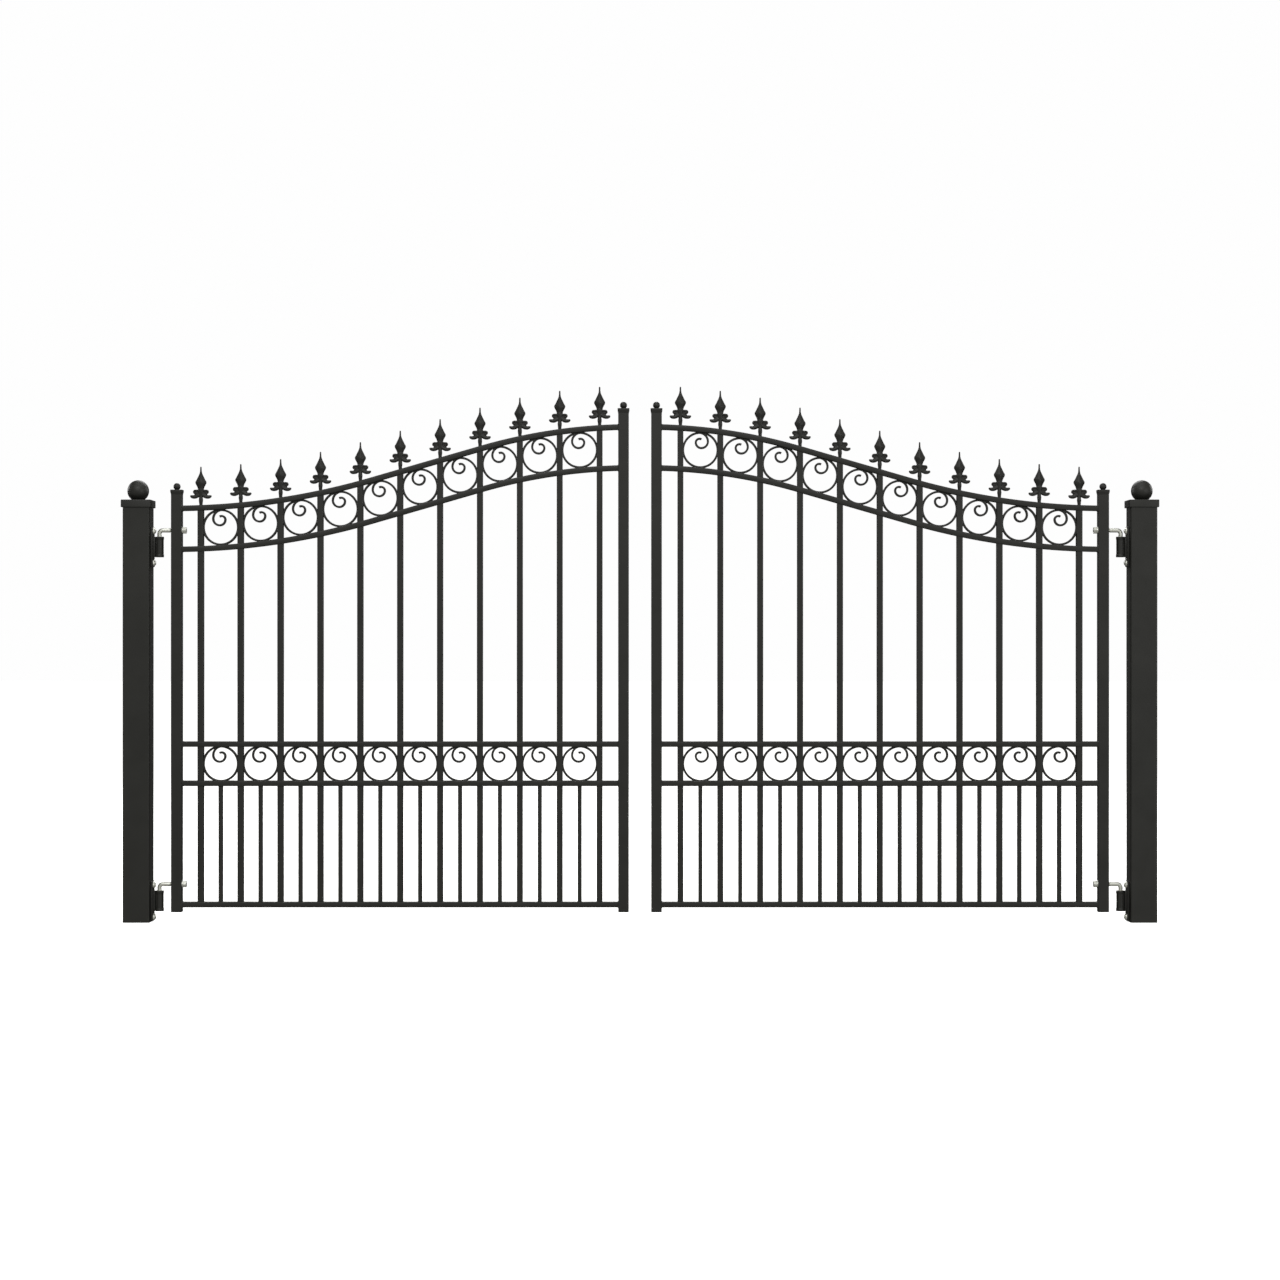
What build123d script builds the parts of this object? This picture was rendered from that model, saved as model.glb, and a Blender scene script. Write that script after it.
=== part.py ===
from build123d import *
import os
from math import atan, cos, pi, sin, sqrt

# Double swing driveway gate: two steel leaves hung from two square posts.
# Millimetres. The origin is on the ground midway between the posts, +X runs
# along the gate, -Y is the front and +Z is up. Each leaf is symmetric in
# depth, and the left half is the mirror of the right half, so every piece is
# laid out by its distance from the centre and given a side of -1 or +1.

os.makedirs("parts", exist_ok=True)

# ---- posts ---------------------------------------------------------------
post_centre = 1888.0
post_size = 100.0
post_wall = 3.0
post_corner = 5.0
post_cap_size = 112.0
post_cap_bottom = 1557.0
post_cap_top = 1585.0
post_cap_wall = 6.0
post_cap_spigot_depth = 20.0
post_ball_radius = 40.5
post_ball_centre = 1619.5
post_ball_stud_radius = 6.0
post_ball_stud_length = 20.0

# ---- leaf frame ----------------------------------------------------------
hinge_stile_x = 1742.0
meeting_stile_x = 62.0
stile_size = 40.0
stile_wall = 2.5
stile_corner = 3.0
stile_foot = 36.4
hinge_stile_top = 1624.0
meeting_stile_top = 1930.0

stile_cap_size = 44.6
stile_cap_height = 18.0
stile_cap_roof = 3.0
stile_cap_bevel_height = 6.0
stile_ball_radius = 13.5
stile_ball_rise = 12.0
stile_ball_stud_radius = 3.0
stile_ball_stud_length = 9.0
foot_plug_flange = 2.0
foot_plug_depth = 14.0

rail_height = 20.0
rail_depth = 36.0
rail_wall = 2.0
bottom_rail_z = 54.0
lower_mid_rail_z = 510.0
upper_mid_rail_z = 657.5

# Top edge of the arched rail: a crown arc, a straight run and a foot arc.
arch_crown_x = 26.0
arch_crown_z = 1870.5
arch_crown_radius = 2060.0
arch_slope = 0.289
arch_foot_x = 1756.0
arch_foot_radius = 2670.0
arch_drop = 154.0

# ---- infill --------------------------------------------------------------
picket_count = 11
picket_pitch = 150.0
first_picket_x = 152.0
picket_width = 22.0
picket_depth = 30.0
picket_wall = 2.0
thin_picket_width = 15.0
thin_picket_depth = 25.0
thin_picket_wall = 1.5

ring_outer_radius = 69.0
ring_bar = 8.0
ring_depth = 15.0

finial_stem_radius = 6.3
finial_height = 145.0
finial_spigot = 14.0
finial_tip = 2.8
finial_leaf_thickness = 11.0
finial_blade_depth_ratio = 0.5

# ---- hinges --------------------------------------------------------------
hinge_x = 1808.0
upper_rod_z = 1471.4
lower_rod_z = 140.6
rod_radius = 8.0
rod_bend_radius = 13.0
rod_end_x = 1705.5
sleeve_radius = 12.0
nut_across_flats = 24.0
nut_height = 13.0
washer_radius = 13.3
washer_thickness = 3.0

barrel_radius = 16.0
barrel_rim_radius = 17.0
barrel_rim_height = 11.0
barrel_length = 77.0
barrel_bore_radius = 13.0
barrel_below_rod = 24.0
thrust_pad_thickness = 6.0
bush_bore_radius = 8.05
pin_end_gap = 0.3

plate_thickness = 8.0
plate_width = 50.0
plate_height = 150.0
saddle_width = 24.0
plate_bolt_offset = 60.0
plate_bolt_radius = 6.0
plate_bolt_length = 34.0
plate_bolt_head_radius = 13.0
plate_bolt_head_height = 10.0
insert_radius = 9.0
insert_bulge_radius = 12.0
insert_length = 20.0

fit = 0.05      # radial clearance between round pieces that are fixed together

# ---- worked out from the driving dimensions --------------------------------
picket_places = [first_picket_x + picket_pitch * k for k in range(picket_count)]
bay_places = [x + picket_pitch / 2 for x in picket_places[:-1]]
inner_face = meeting_stile_x + stile_size / 2
outer_face = hinge_stile_x - stile_size / 2
rail_middle = (inner_face + outer_face) / 2
rail_length = outer_face - inner_face
post_inner_face = post_centre - post_size / 2
mid_scroll_z = (lower_mid_rail_z + rail_height + upper_mid_rail_z) / 2
rod_heights = (upper_rod_z, lower_rod_z)
plate_centres = [z - barrel_below_rod - barrel_length / 2 for z in rod_heights]
plate_bolt_heights = [z + d for z in plate_centres for d in (plate_bolt_offset, -plate_bolt_offset)]

arch_angle = atan(arch_slope)
arch_crown_centre_z = arch_crown_z - arch_crown_radius
arch_run_start_x = arch_crown_x + arch_crown_radius * sin(arch_angle)
arch_run_start_z = arch_crown_centre_z + arch_crown_radius * cos(arch_angle)
arch_run_end_x = arch_foot_x - arch_foot_radius * sin(arch_angle)
arch_run_end_z = arch_run_start_z - (arch_run_end_x - arch_run_start_x) * arch_slope
arch_foot_centre_z = arch_run_end_z + arch_foot_radius * cos(arch_angle)


def arch_height(x, depth=0.0):
    """Height of the arch at x, on the curve that lies depth inside its top edge."""
    if x < arch_run_start_x - depth * sin(arch_angle):
        return arch_crown_centre_z + sqrt((arch_crown_radius - depth) ** 2 - (x - arch_crown_x) ** 2)
    if x > arch_run_end_x - depth * sin(arch_angle):
        return arch_foot_centre_z - sqrt((arch_foot_radius + depth) ** 2 - (x - arch_foot_x) ** 2)
    return arch_run_start_z - (x - arch_run_start_x) * arch_slope - depth / cos(arch_angle)


def under_arch(side, depth, drop=0.0, floor=1200.0):
    """Face between the stiles below the arch, down to a level floor."""
    run_start = arch_run_start_x - depth * sin(arch_angle)
    run_end = arch_run_end_x - depth * sin(arch_angle)

    def on_arch(x):
        return (side * x, arch_height(x, depth) - drop)

    with BuildLine() as outline:
        ThreePointArc(on_arch(inner_face), on_arch((inner_face + run_start) / 2), on_arch(run_start))
        Line(on_arch(run_start), on_arch(run_end))
        ThreePointArc(on_arch(run_end), on_arch((run_end + outer_face) / 2), on_arch(outer_face))
        Polyline(
            on_arch(outer_face),
            (side * outer_face, floor),
            (side * inner_face, floor),
            on_arch(inner_face),
        )
    return make_face(outline.line, mode=Mode.PRIVATE)


def scroll_bar(side, x, z):
    """Face of one scroll: a ring whose bar curls inwards from the top."""

    def quarter(centre_x, centre_z, radius, start, end):
        points = []
        for angle in (start, (start + end) / 2, end):
            across = centre_x + radius * cos(angle * pi / 180)
            points.append((side * (x + across), z + centre_z + radius * sin(angle * pi / 180)))
        return ThreePointArc(*points)

    with BuildSketch() as bar:
        with Locations((side * x, z)):
            Circle(ring_outer_radius)
            Circle(ring_outer_radius - ring_bar, mode=Mode.SUBTRACT)
        with BuildLine(mode=Mode.PRIVATE) as curl:
            quarter(-4.5, 32.0, 33.0, 90, 0)
            quarter(3.9, 32.0, 24.6, 0, -90)
            quarter(3.9, 28.4, 21.0, -90, -180)
            quarter(-3.1, 28.4, 14.0, 180, 58)
        trace(curl.line, line_width=ring_bar)
    return bar.sketch


def square_tube(x, size, wall, corner, bottom, top):
    """Upright square tube centred on x."""
    with BuildPart() as tube:
        with BuildSketch(Plane.XY.offset(bottom)):
            with Locations((x, 0)):
                RectangleRounded(size, size, corner)
                Rectangle(size - 2 * wall, size - 2 * wall, mode=Mode.SUBTRACT)
        extrude(amount=top - bottom)
    return tube.part


def upright_bars(side, places, width, depth, bottom, top):
    """Solid uprights standing at the given places."""
    with BuildPart() as bars:
        with BuildSketch(Plane.XY.offset(bottom)):
            with Locations([(side * x, 0) for x in places]):
                Rectangle(width, depth)
        extrude(amount=top - bottom)
    return bars.part


def picket_envelope(side, width, depth, roof_depth):
    """Outside of the main pickets, which end against the inside of the arched rail."""
    with BuildPart() as envelope:
        add(upright_bars(side, picket_places, width, depth, bottom_rail_z + rail_wall, arch_crown_z))
        with BuildSketch(Plane.XZ):
            add(under_arch(side, roof_depth, floor=0.0))
        extrude(amount=picket_depth, both=True, mode=Mode.INTERSECT)
    return envelope.part


def thin_picket_envelope(side, width, depth):
    """Outside of the short pickets between the bottom rail and the lower mid rail."""
    roof = lower_mid_rail_z + rail_height - rail_wall
    return upright_bars(side, bay_places, width, depth, bottom_rail_z + rail_wall, roof)


def straight_rail(side, bottom, punches):
    """Level rectangular tube between the stiles, punched for the pickets."""
    with BuildPart() as rail:
        with BuildSketch(Plane.YZ.offset(side * rail_middle)):
            with Locations((0, bottom + rail_height / 2)):
                Rectangle(rail_depth, rail_height)
                Rectangle(rail_depth - 2 * rail_wall, rail_height - 2 * rail_wall, mode=Mode.SUBTRACT)
        extrude(amount=rail_length / 2, both=True)
        for punch in punches:
            add(punch, mode=Mode.SUBTRACT)
    return rail.part


def arched_rail(side, drop, punch):
    """Rectangular tube bent to the arch and punched for the pickets."""
    with BuildPart() as rail:
        with BuildSketch(Plane.XZ):
            add(under_arch(side, 0.0, drop))
            add(under_arch(side, rail_height, drop), mode=Mode.SUBTRACT)
        extrude(amount=rail_depth / 2, both=True)
        with BuildSketch(Plane.XZ):
            add(under_arch(side, rail_wall, drop))
            add(under_arch(side, rail_height - rail_wall, drop), mode=Mode.SUBTRACT)
        extrude(amount=rail_depth / 2 - rail_wall, both=True, mode=Mode.SUBTRACT)
        add(punch, mode=Mode.SUBTRACT)
    return rail.part


def finial(side, x):
    """Cast spear head: turned stem and spigot, a leaf collar and a diamond blade."""
    base = arch_height(x)
    leaf_edge = [
        (7, 32), (14, 27.5), (24, 24.8), (33, 25.2), (39.5, 30), (40.5, 35),
        (36.5, 38.6), (28.5, 39.5), (30.3, 48), (28, 55), (23, 58),
    ]
    blade_sections = [(54, 9.5), (61, 11.2), (75.6, 17.4), (84, 21.3), (106, 11.5), (119, 5.3), (131, 2.9)]
    with BuildPart() as head:
        with BuildSketch(Plane.XZ):
            with BuildLine():
                Polyline(
                    (side * x, base + 60),
                    (side * x, base - finial_spigot),
                    (side * x + finial_stem_radius, base - finial_spigot),
                    (side * x + finial_stem_radius, base + 6),
                    (side * x + finial_stem_radius + 1.9, base + 19.5),
                    (side * x + finial_stem_radius, base + 32),
                    (side * x + finial_stem_radius, base + 60),
                    close=True,
                )
            make_face()
        revolve(axis=Axis((side * x, 0, 0), (0, 0, 1)))
        with BuildSketch(Plane.XZ):
            with BuildLine():
                right_leaf = [(side * x + a, base + b) for a, b in leaf_edge]
                left_leaf = [(side * x - a, base + b) for a, b in reversed(leaf_edge)]
                Polyline(*right_leaf, (side * x + 10, base + 61), (side * x - 10, base + 61), *left_leaf, close=True)
            make_face()
        extrude(amount=finial_leaf_thickness / 2, both=True)
        for height, half_width in blade_sections:
            with BuildSketch(Plane((side * x, 0, base + height))):
                half_depth = half_width * finial_blade_depth_ratio
                with BuildLine():
                    Polyline((half_width, 0), (0, half_depth), (-half_width, 0), (0, -half_depth), close=True)
                make_face()
        with BuildSketch(Plane((side * x, 0, base + finial_height))):
            Rectangle(finial_tip, finial_tip, rotation=45)
        loft(ruled=True)
    return head.part


def save(name, piece):
    """Label a finished piece and write it to its own file."""
    piece.label = name
    export_step(piece, f"parts/{name}.step")


def make_post(name, side):
    centre = side * post_centre
    towards_gate = Plane(origin=(side * post_inner_face, 0, 0), x_dir=(0, -side, 0), z_dir=(-side, 0, 0))
    bolt_points = [(0, z) for z in plate_bolt_heights]

    with BuildPart() as post:
        add(square_tube(centre, post_size, post_wall, post_corner, 0, post_cap_bottom))
        with BuildSketch(towards_gate):
            with Locations(bolt_points):
                Circle(insert_radius + fit)
        extrude(amount=-2 * post_wall, mode=Mode.SUBTRACT)
    save(f"{name}_post", post.part)

    spigot_size = post_size - 2 * post_wall - 2 * fit
    spigot_bottom = post_cap_bottom - post_cap_spigot_depth
    with BuildPart() as cap:
        with BuildSketch(Plane.XY.offset(post_cap_bottom)):
            with Locations((centre, 0)):
                Rectangle(post_cap_size, post_cap_size)
        extrude(amount=post_cap_top - post_cap_bottom)
        fillet(cap.edges().filter_by(Axis.Z), radius=2)
        chamfer(cap.faces().sort_by(Axis.Z)[-1].edges(), length=2)
        with BuildSketch(Plane.XY.offset(spigot_bottom)):
            with Locations((centre, 0)):
                Rectangle(spigot_size, spigot_size)
        extrude(amount=post_cap_spigot_depth)
        with BuildSketch(Plane.XY.offset(spigot_bottom)):
            with Locations((centre, 0)):
                Rectangle(spigot_size - 2 * post_cap_wall, spigot_size - 2 * post_cap_wall)
        extrude(amount=post_cap_top - post_cap_wall - spigot_bottom, mode=Mode.SUBTRACT)
        with BuildSketch(Plane.XY.offset(post_cap_bottom)):
            with Locations((centre, 0)):
                Circle(post_ball_stud_radius + fit)
        extrude(amount=post_cap_top - post_cap_bottom, mode=Mode.SUBTRACT)
    save(f"{name}_post_cap", cap.part)

    save(f"{name}_post_ball", ball_on_stud(
        centre, post_cap_top, post_ball_centre, post_ball_radius,
        post_ball_stud_radius, post_ball_stud_length,
    ))

    with BuildPart() as plates:
        with BuildSketch(towards_gate):
            with Locations([(0, z) for z in plate_centres]):
                Rectangle(plate_width, plate_height)
            with Locations(bolt_points):
                Circle(plate_bolt_radius + 0.5, mode=Mode.SUBTRACT)
        extrude(amount=plate_thickness)
        with BuildSketch(towards_gate.offset(plate_thickness)):
            with Locations([(0, z) for z in plate_centres]):
                Rectangle(saddle_width, barrel_length)
        extrude(amount=post_inner_face - plate_thickness - hinge_x)
        with BuildSketch(Plane.XY):
            with Locations((side * hinge_x, 0)):
                Circle(barrel_rim_radius + fit)
        extrude(amount=post_cap_top, mode=Mode.SUBTRACT)
    save(f"{name}_hinge_plates", plates.part)

    barrels = []
    bushes = []
    pads = []
    for rod_z in rod_heights:
        top = rod_z - barrel_below_rod
        bottom = top - barrel_length
        axis = Axis((side * hinge_x, 0, 0), (0, 0, 1))
        with BuildPart() as barrel:
            with BuildSketch(Plane.XY.offset(bottom)):
                with Locations((side * hinge_x, 0)):
                    Circle(barrel_radius)
            extrude(amount=barrel_length)
            for rim_bottom in (bottom, top - barrel_rim_height):
                with BuildSketch(Plane.XY.offset(rim_bottom)):
                    with Locations((side * hinge_x, 0)):
                        Circle(barrel_rim_radius)
                extrude(amount=barrel_rim_height)
            with BuildSketch(Plane.XY.offset(bottom)):
                with Locations((side * hinge_x, 0)):
                    Circle(barrel_bore_radius)
            extrude(amount=barrel_length, mode=Mode.SUBTRACT)
        barrels.append(barrel.part)

        with BuildPart() as bush:
            with BuildSketch(Plane.XY.offset(bottom + thrust_pad_thickness)):
                with Locations((side * hinge_x, 0)):
                    Circle(barrel_bore_radius - fit)
                    Circle(bush_bore_radius, mode=Mode.SUBTRACT)
            extrude(amount=barrel_length - thrust_pad_thickness)
        bushes.append(bush.part)

        with BuildPart() as pad:
            with BuildSketch(Plane.XY.offset(bottom)):
                with Locations((side * hinge_x, 0)):
                    Circle(barrel_bore_radius - fit)
            extrude(amount=thrust_pad_thickness)
        pads.append(pad.part)
    save(f"{name}_hinge_barrels", Compound(children=barrels))
    save(f"{name}_hinge_bushes", Compound(children=bushes))
    save(f"{name}_hinge_thrust_pads", Compound(children=pads))

    bolts = []
    inserts = []
    head_seat = side * (post_inner_face - plate_thickness)
    head_crown = head_seat - side * plate_bolt_head_height
    shank_end = head_seat + side * plate_bolt_length
    dome_radius = (plate_bolt_head_radius ** 2 + plate_bolt_head_height ** 2) / (2 * plate_bolt_head_height)
    dome_shoulder = dome_radius * (1 - cos(pi / 4))
    for z in plate_bolt_heights:
        with BuildPart() as bolt:
            with BuildSketch(Plane.XZ):
                with BuildLine():
                    ThreePointArc(
                        (head_crown, z),
                        (head_crown + side * dome_shoulder, z + dome_radius * sin(pi / 4)),
                        (head_seat, z + plate_bolt_head_radius),
                    )
                    Polyline(
                        (head_seat, z + plate_bolt_head_radius),
                        (head_seat, z + plate_bolt_radius),
                        (shank_end, z + plate_bolt_radius),
                        (shank_end, z),
                        (head_crown, z),
                    )
                make_face()
            revolve(axis=Axis((0, 0, z), (1, 0, 0)))
        bolts.append(bolt.part)

        with BuildPart() as insert:
            with BuildSketch(towards_gate):
                with Locations((0, z)):
                    Circle(insert_radius)
            extrude(amount=-insert_length)
            with BuildSketch(towards_gate.offset(-post_wall)):
                with Locations((0, z)):
                    Circle(insert_bulge_radius)
            extrude(amount=-post_wall)
            with BuildSketch(towards_gate):
                with Locations((0, z)):
                    Circle(plate_bolt_radius + fit)
            extrude(amount=-insert_length, mode=Mode.SUBTRACT)
        inserts.append(insert.part)
    save(f"{name}_plate_bolts", Compound(children=bolts))
    save(f"{name}_post_inserts", Compound(children=inserts))


def ball_on_stud(x, seat, centre_z, radius, stud_radius, stud_length):
    """Ball with a flat seat and a stud that goes down through the cap."""
    with BuildPart() as ball:
        with Locations((x, 0, centre_z)):
            Sphere(radius)
        with BuildSketch(Plane.XY.offset(seat)):
            with Locations((x, 0)):
                Rectangle(3 * radius, 3 * radius)
        extrude(amount=-2 * radius, mode=Mode.SUBTRACT)
        with BuildSketch(Plane.XY.offset(seat + radius / 2)):
            with Locations((x, 0)):
                Circle(stud_radius)
        extrude(amount=-stud_length - radius / 2)
    return ball.part


def stile_cap(x, top):
    """Square cap that sleeves over a stile, bevelled along its lower edge."""
    bottom = top - stile_cap_height
    with BuildPart() as cap:
        with BuildSketch(Plane.XY.offset(bottom)):
            with Locations((x, 0)):
                RectangleRounded(stile_size + 0.2, stile_size + 0.2, stile_corner)
        with BuildSketch(Plane.XY.offset(bottom + stile_cap_bevel_height)):
            with Locations((x, 0)):
                RectangleRounded(stile_cap_size, stile_cap_size, stile_corner)
        loft()
        with BuildSketch(Plane.XY.offset(bottom + stile_cap_bevel_height)):
            with Locations((x, 0)):
                RectangleRounded(stile_cap_size, stile_cap_size, stile_corner)
        extrude(amount=stile_cap_height - stile_cap_bevel_height)
        with BuildSketch(Plane.XY.offset(bottom)):
            with Locations((x, 0)):
                RectangleRounded(stile_size, stile_size, stile_corner)
        extrude(amount=stile_cap_height - stile_cap_roof, mode=Mode.SUBTRACT)
        with BuildSketch(Plane.XY.offset(bottom)):
            with Locations((x, 0)):
                Circle(stile_ball_stud_radius + fit)
        extrude(amount=stile_cap_height, mode=Mode.SUBTRACT)
    return cap.part


def foot_plug(x):
    """Moulded plug that closes the foot of a stile."""
    inside = stile_size - 2 * stile_wall - 0.2
    with BuildPart() as plug:
        with BuildSketch(Plane.XY.offset(stile_foot)):
            with Locations((x, 0)):
                RectangleRounded(stile_size, stile_size, stile_corner)
        extrude(amount=foot_plug_flange)
        with BuildSketch(Plane.XY.offset(stile_foot)):
            with Locations((x, 0)):
                Rectangle(inside, inside)
        extrude(amount=foot_plug_depth)
        with BuildSketch(Plane.XY.offset(stile_foot + foot_plug_flange)):
            with Locations((x, 0)):
                Rectangle(inside - 5, inside - 5)
        extrude(amount=foot_plug_depth, mode=Mode.SUBTRACT)
    return plug.part


def along_rod(side, x, rod_z):
    """Plane square to a hinge rod, facing the hinge axis."""
    return Plane(origin=(side * x, 0, rod_z), x_dir=(0, 1, 0), z_dir=(side, 0, 0))


def j_bolt(side, rod_z):
    """Threaded rod bent down into a hinge pin."""
    pin_foot = rod_z - barrel_below_rod - barrel_length + thrust_pad_thickness + pin_end_gap
    with BuildPart() as rod:
        with BuildLine(Plane.XZ):
            FilletPolyline(
                (side * rod_end_x, rod_z),
                (side * hinge_x, rod_z),
                (side * hinge_x, pin_foot),
                radius=rod_bend_radius,
            )
        with BuildSketch(along_rod(side, rod_end_x, rod_z)):
            Circle(rod_radius)
        sweep()
        chamfer(rod.edges().filter_by(GeomType.CIRCLE).group_by(Axis.Z)[0], length=1.5)
    return rod.part


def j_bolt_fixings(side, rod_z):
    """The threaded sleeve through the stile, the washer and the lock nut of one rod."""
    washer_x = outer_face - washer_thickness
    nut_x = washer_x - nut_height
    with BuildPart() as sleeve:
        with BuildSketch(along_rod(side, outer_face, rod_z)):
            Circle(sleeve_radius)
            Circle(rod_radius + fit, mode=Mode.SUBTRACT)
        extrude(amount=stile_size)

    with BuildPart() as washer:
        with BuildSketch(along_rod(side, washer_x, rod_z)):
            Circle(washer_radius)
            Circle(rod_radius + fit, mode=Mode.SUBTRACT)
        extrude(amount=washer_thickness)

    with BuildPart() as nut:
        with BuildSketch(along_rod(side, nut_x, rod_z)):
            RegularPolygon(nut_across_flats / 2, 6, major_radius=False)
            Circle(rod_radius + fit, mode=Mode.SUBTRACT)
        extrude(amount=nut_height)
    return sleeve.part, washer.part, nut.part


def make_leaf(name, side):
    envelope = picket_envelope(side, picket_width, picket_depth, rail_wall)
    thin_envelope = thin_picket_envelope(side, thin_picket_width, thin_picket_depth)

    with BuildPart() as hinge_stile:
        add(square_tube(
            side * hinge_stile_x, stile_size, stile_wall, stile_corner,
            stile_foot + foot_plug_flange, hinge_stile_top - stile_cap_roof,
        ))
        for rod_z in rod_heights:
            with BuildSketch(along_rod(side, outer_face, rod_z)):
                Circle(sleeve_radius + fit)
            extrude(amount=stile_size, mode=Mode.SUBTRACT)
    save(f"{name}_hinge_stile", hinge_stile.part)

    save(f"{name}_meeting_stile", square_tube(
        side * meeting_stile_x, stile_size, stile_wall, stile_corner,
        stile_foot + foot_plug_flange, meeting_stile_top - stile_cap_roof,
    ))

    with BuildPart() as top_rail:
        add(arched_rail(side, 0.0, envelope))
        with BuildSketch(Plane.XY.offset(arch_height(outer_face) - rail_height / 2)):
            with Locations([(side * x, 0) for x in picket_places]):
                Circle(finial_stem_radius + fit)
        extrude(amount=arch_crown_z, mode=Mode.SUBTRACT)
    save(f"{name}_top_rail", top_rail.part)
    save(f"{name}_arch_rail", arched_rail(side, arch_drop, envelope))
    save(f"{name}_upper_mid_rail", straight_rail(side, upper_mid_rail_z, [envelope]))
    save(f"{name}_lower_mid_rail", straight_rail(side, lower_mid_rail_z, [envelope, thin_envelope]))
    save(f"{name}_bottom_rail", straight_rail(side, bottom_rail_z, [envelope, thin_envelope]))

    with BuildPart() as pickets:
        add(envelope)
        add(
            upright_bars(
                side, picket_places, picket_width - 2 * picket_wall, picket_depth - 2 * picket_wall,
                0, arch_crown_z,
            ),
            mode=Mode.SUBTRACT,
        )
    save(f"{name}_pickets", pickets.part)

    with BuildPart() as thin_pickets:
        add(thin_envelope)
        add(
            thin_picket_envelope(
                side, thin_picket_width - 2 * thin_picket_wall, thin_picket_depth - 2 * thin_picket_wall
            ),
            mode=Mode.SUBTRACT,
        )
    save(f"{name}_thin_pickets", thin_pickets.part)

    save(f"{name}_finials", Compound(children=[finial(side, x) for x in picket_places]))

    picket_clearance = [(side * x, 1000) for x in picket_places]
    with BuildPart() as arch_scrolls:
        with BuildSketch(Plane.XZ):
            for x in bay_places:
                middle = (arch_height(x, rail_height) + arch_height(x) - arch_drop) / 2
                add(scroll_bar(side, x, middle))
            add(under_arch(side, rail_height), mode=Mode.INTERSECT)
            add(under_arch(side, 0.0, arch_drop, floor=0.0), mode=Mode.SUBTRACT)
            with Locations(picket_clearance):
                Rectangle(picket_width, 2000, mode=Mode.SUBTRACT)
        extrude(amount=ring_depth / 2, both=True)
    save(f"{name}_arch_scrolls", arch_scrolls.part)

    with BuildPart() as mid_scrolls:
        with BuildSketch(Plane.XZ):
            for x in bay_places:
                add(scroll_bar(side, x, mid_scroll_z))
            with Locations((side * rail_middle, mid_scroll_z)):
                Rectangle(
                    rail_length, upper_mid_rail_z - lower_mid_rail_z - rail_height, mode=Mode.INTERSECT
                )
            with Locations(picket_clearance):
                Rectangle(picket_width, 2000, mode=Mode.SUBTRACT)
        extrude(amount=ring_depth / 2, both=True)
    save(f"{name}_mid_scrolls", mid_scrolls.part)

    stile_tops = [(side * hinge_stile_x, hinge_stile_top), (side * meeting_stile_x, meeting_stile_top)]
    save(f"{name}_stile_caps", Compound(children=[stile_cap(x, top) for x, top in stile_tops]))
    balls = [
        ball_on_stud(
            x, top, top + stile_ball_rise, stile_ball_radius,
            stile_ball_stud_radius, stile_ball_stud_length,
        )
        for x, top in stile_tops
    ]
    save(f"{name}_stile_balls", Compound(children=balls))
    save(f"{name}_stile_foot_plugs", Compound(children=[foot_plug(x) for x, top in stile_tops]))

    save(f"{name}_upper_j_bolt", j_bolt(side, upper_rod_z))
    save(f"{name}_lower_j_bolt", j_bolt(side, lower_rod_z))
    sleeves, washers, nuts = zip(*[j_bolt_fixings(side, rod_z) for rod_z in rod_heights])
    save(f"{name}_rod_sleeves", Compound(children=list(sleeves)))
    save(f"{name}_rod_washers", Compound(children=list(washers)))
    save(f"{name}_rod_lock_nuts", Compound(children=list(nuts)))


for side_name, side_sign in (("left", -1), ("right", 1)):
    make_post(side_name, side_sign)
    make_leaf(f"{side_name}_leaf", side_sign)
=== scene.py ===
from math import acos, asin, atan, cos, degrees, pi, radians, sin, sqrt, tan

import bmesh
import bpy
from mathutils import Matrix, Vector


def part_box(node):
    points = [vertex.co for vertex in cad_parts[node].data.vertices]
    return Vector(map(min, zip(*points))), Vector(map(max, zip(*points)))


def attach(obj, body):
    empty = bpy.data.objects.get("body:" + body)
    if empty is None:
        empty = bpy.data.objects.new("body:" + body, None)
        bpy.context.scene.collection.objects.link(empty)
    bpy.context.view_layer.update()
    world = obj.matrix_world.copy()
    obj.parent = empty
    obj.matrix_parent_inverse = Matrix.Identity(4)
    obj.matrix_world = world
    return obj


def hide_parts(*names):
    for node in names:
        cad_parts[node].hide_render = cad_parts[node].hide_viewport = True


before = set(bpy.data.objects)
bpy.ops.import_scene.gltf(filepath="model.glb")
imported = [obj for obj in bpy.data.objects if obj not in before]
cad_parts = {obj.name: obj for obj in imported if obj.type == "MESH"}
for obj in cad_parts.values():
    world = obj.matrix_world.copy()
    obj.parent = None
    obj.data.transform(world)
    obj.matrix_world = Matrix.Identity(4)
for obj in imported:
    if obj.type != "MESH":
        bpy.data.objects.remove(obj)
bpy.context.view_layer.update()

bl_info = {
    "name": "Driveway Gate Finish",
    "version": (1, 0, 0),
    "blender": (4, 5, 0),
    "location": "View3D > Sidebar > Gate",
    "description": "Finished surfaces for a double swing steel gate, built around its engineering frame",
    "category": "Add Mesh",
}

MM = 0.001
X, Y, Z = range(3)
SIDES = (("left", -1), ("right", 1))
LEAVES = (("left_leaf", -1), ("right_leaf", 1))

# Finishes, by the name of their material.
STEEL, CASTING, ZINC = "powder_coated_steel", "powder_coated_casting", "zinc_plated_steel"


# ---- where things are, by distance from the middle of the gate ---------------

def extent(node, axis):
    """Lowest and highest value of one node along one axis, in metres."""
    low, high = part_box(node)
    return low[axis], high[axis]


def middle(node, axis):
    return sum(extent(node, axis)) / 2


def evenly(node, count):
    """Centres of a row of equal bars that starts and ends at the box of its node."""
    low, high = extent(node, X)
    half = BAR_WIDTHS[node] / 2
    return [low + half + (high - low - 2 * half) * k / (count - 1) for k in range(count)]


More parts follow.
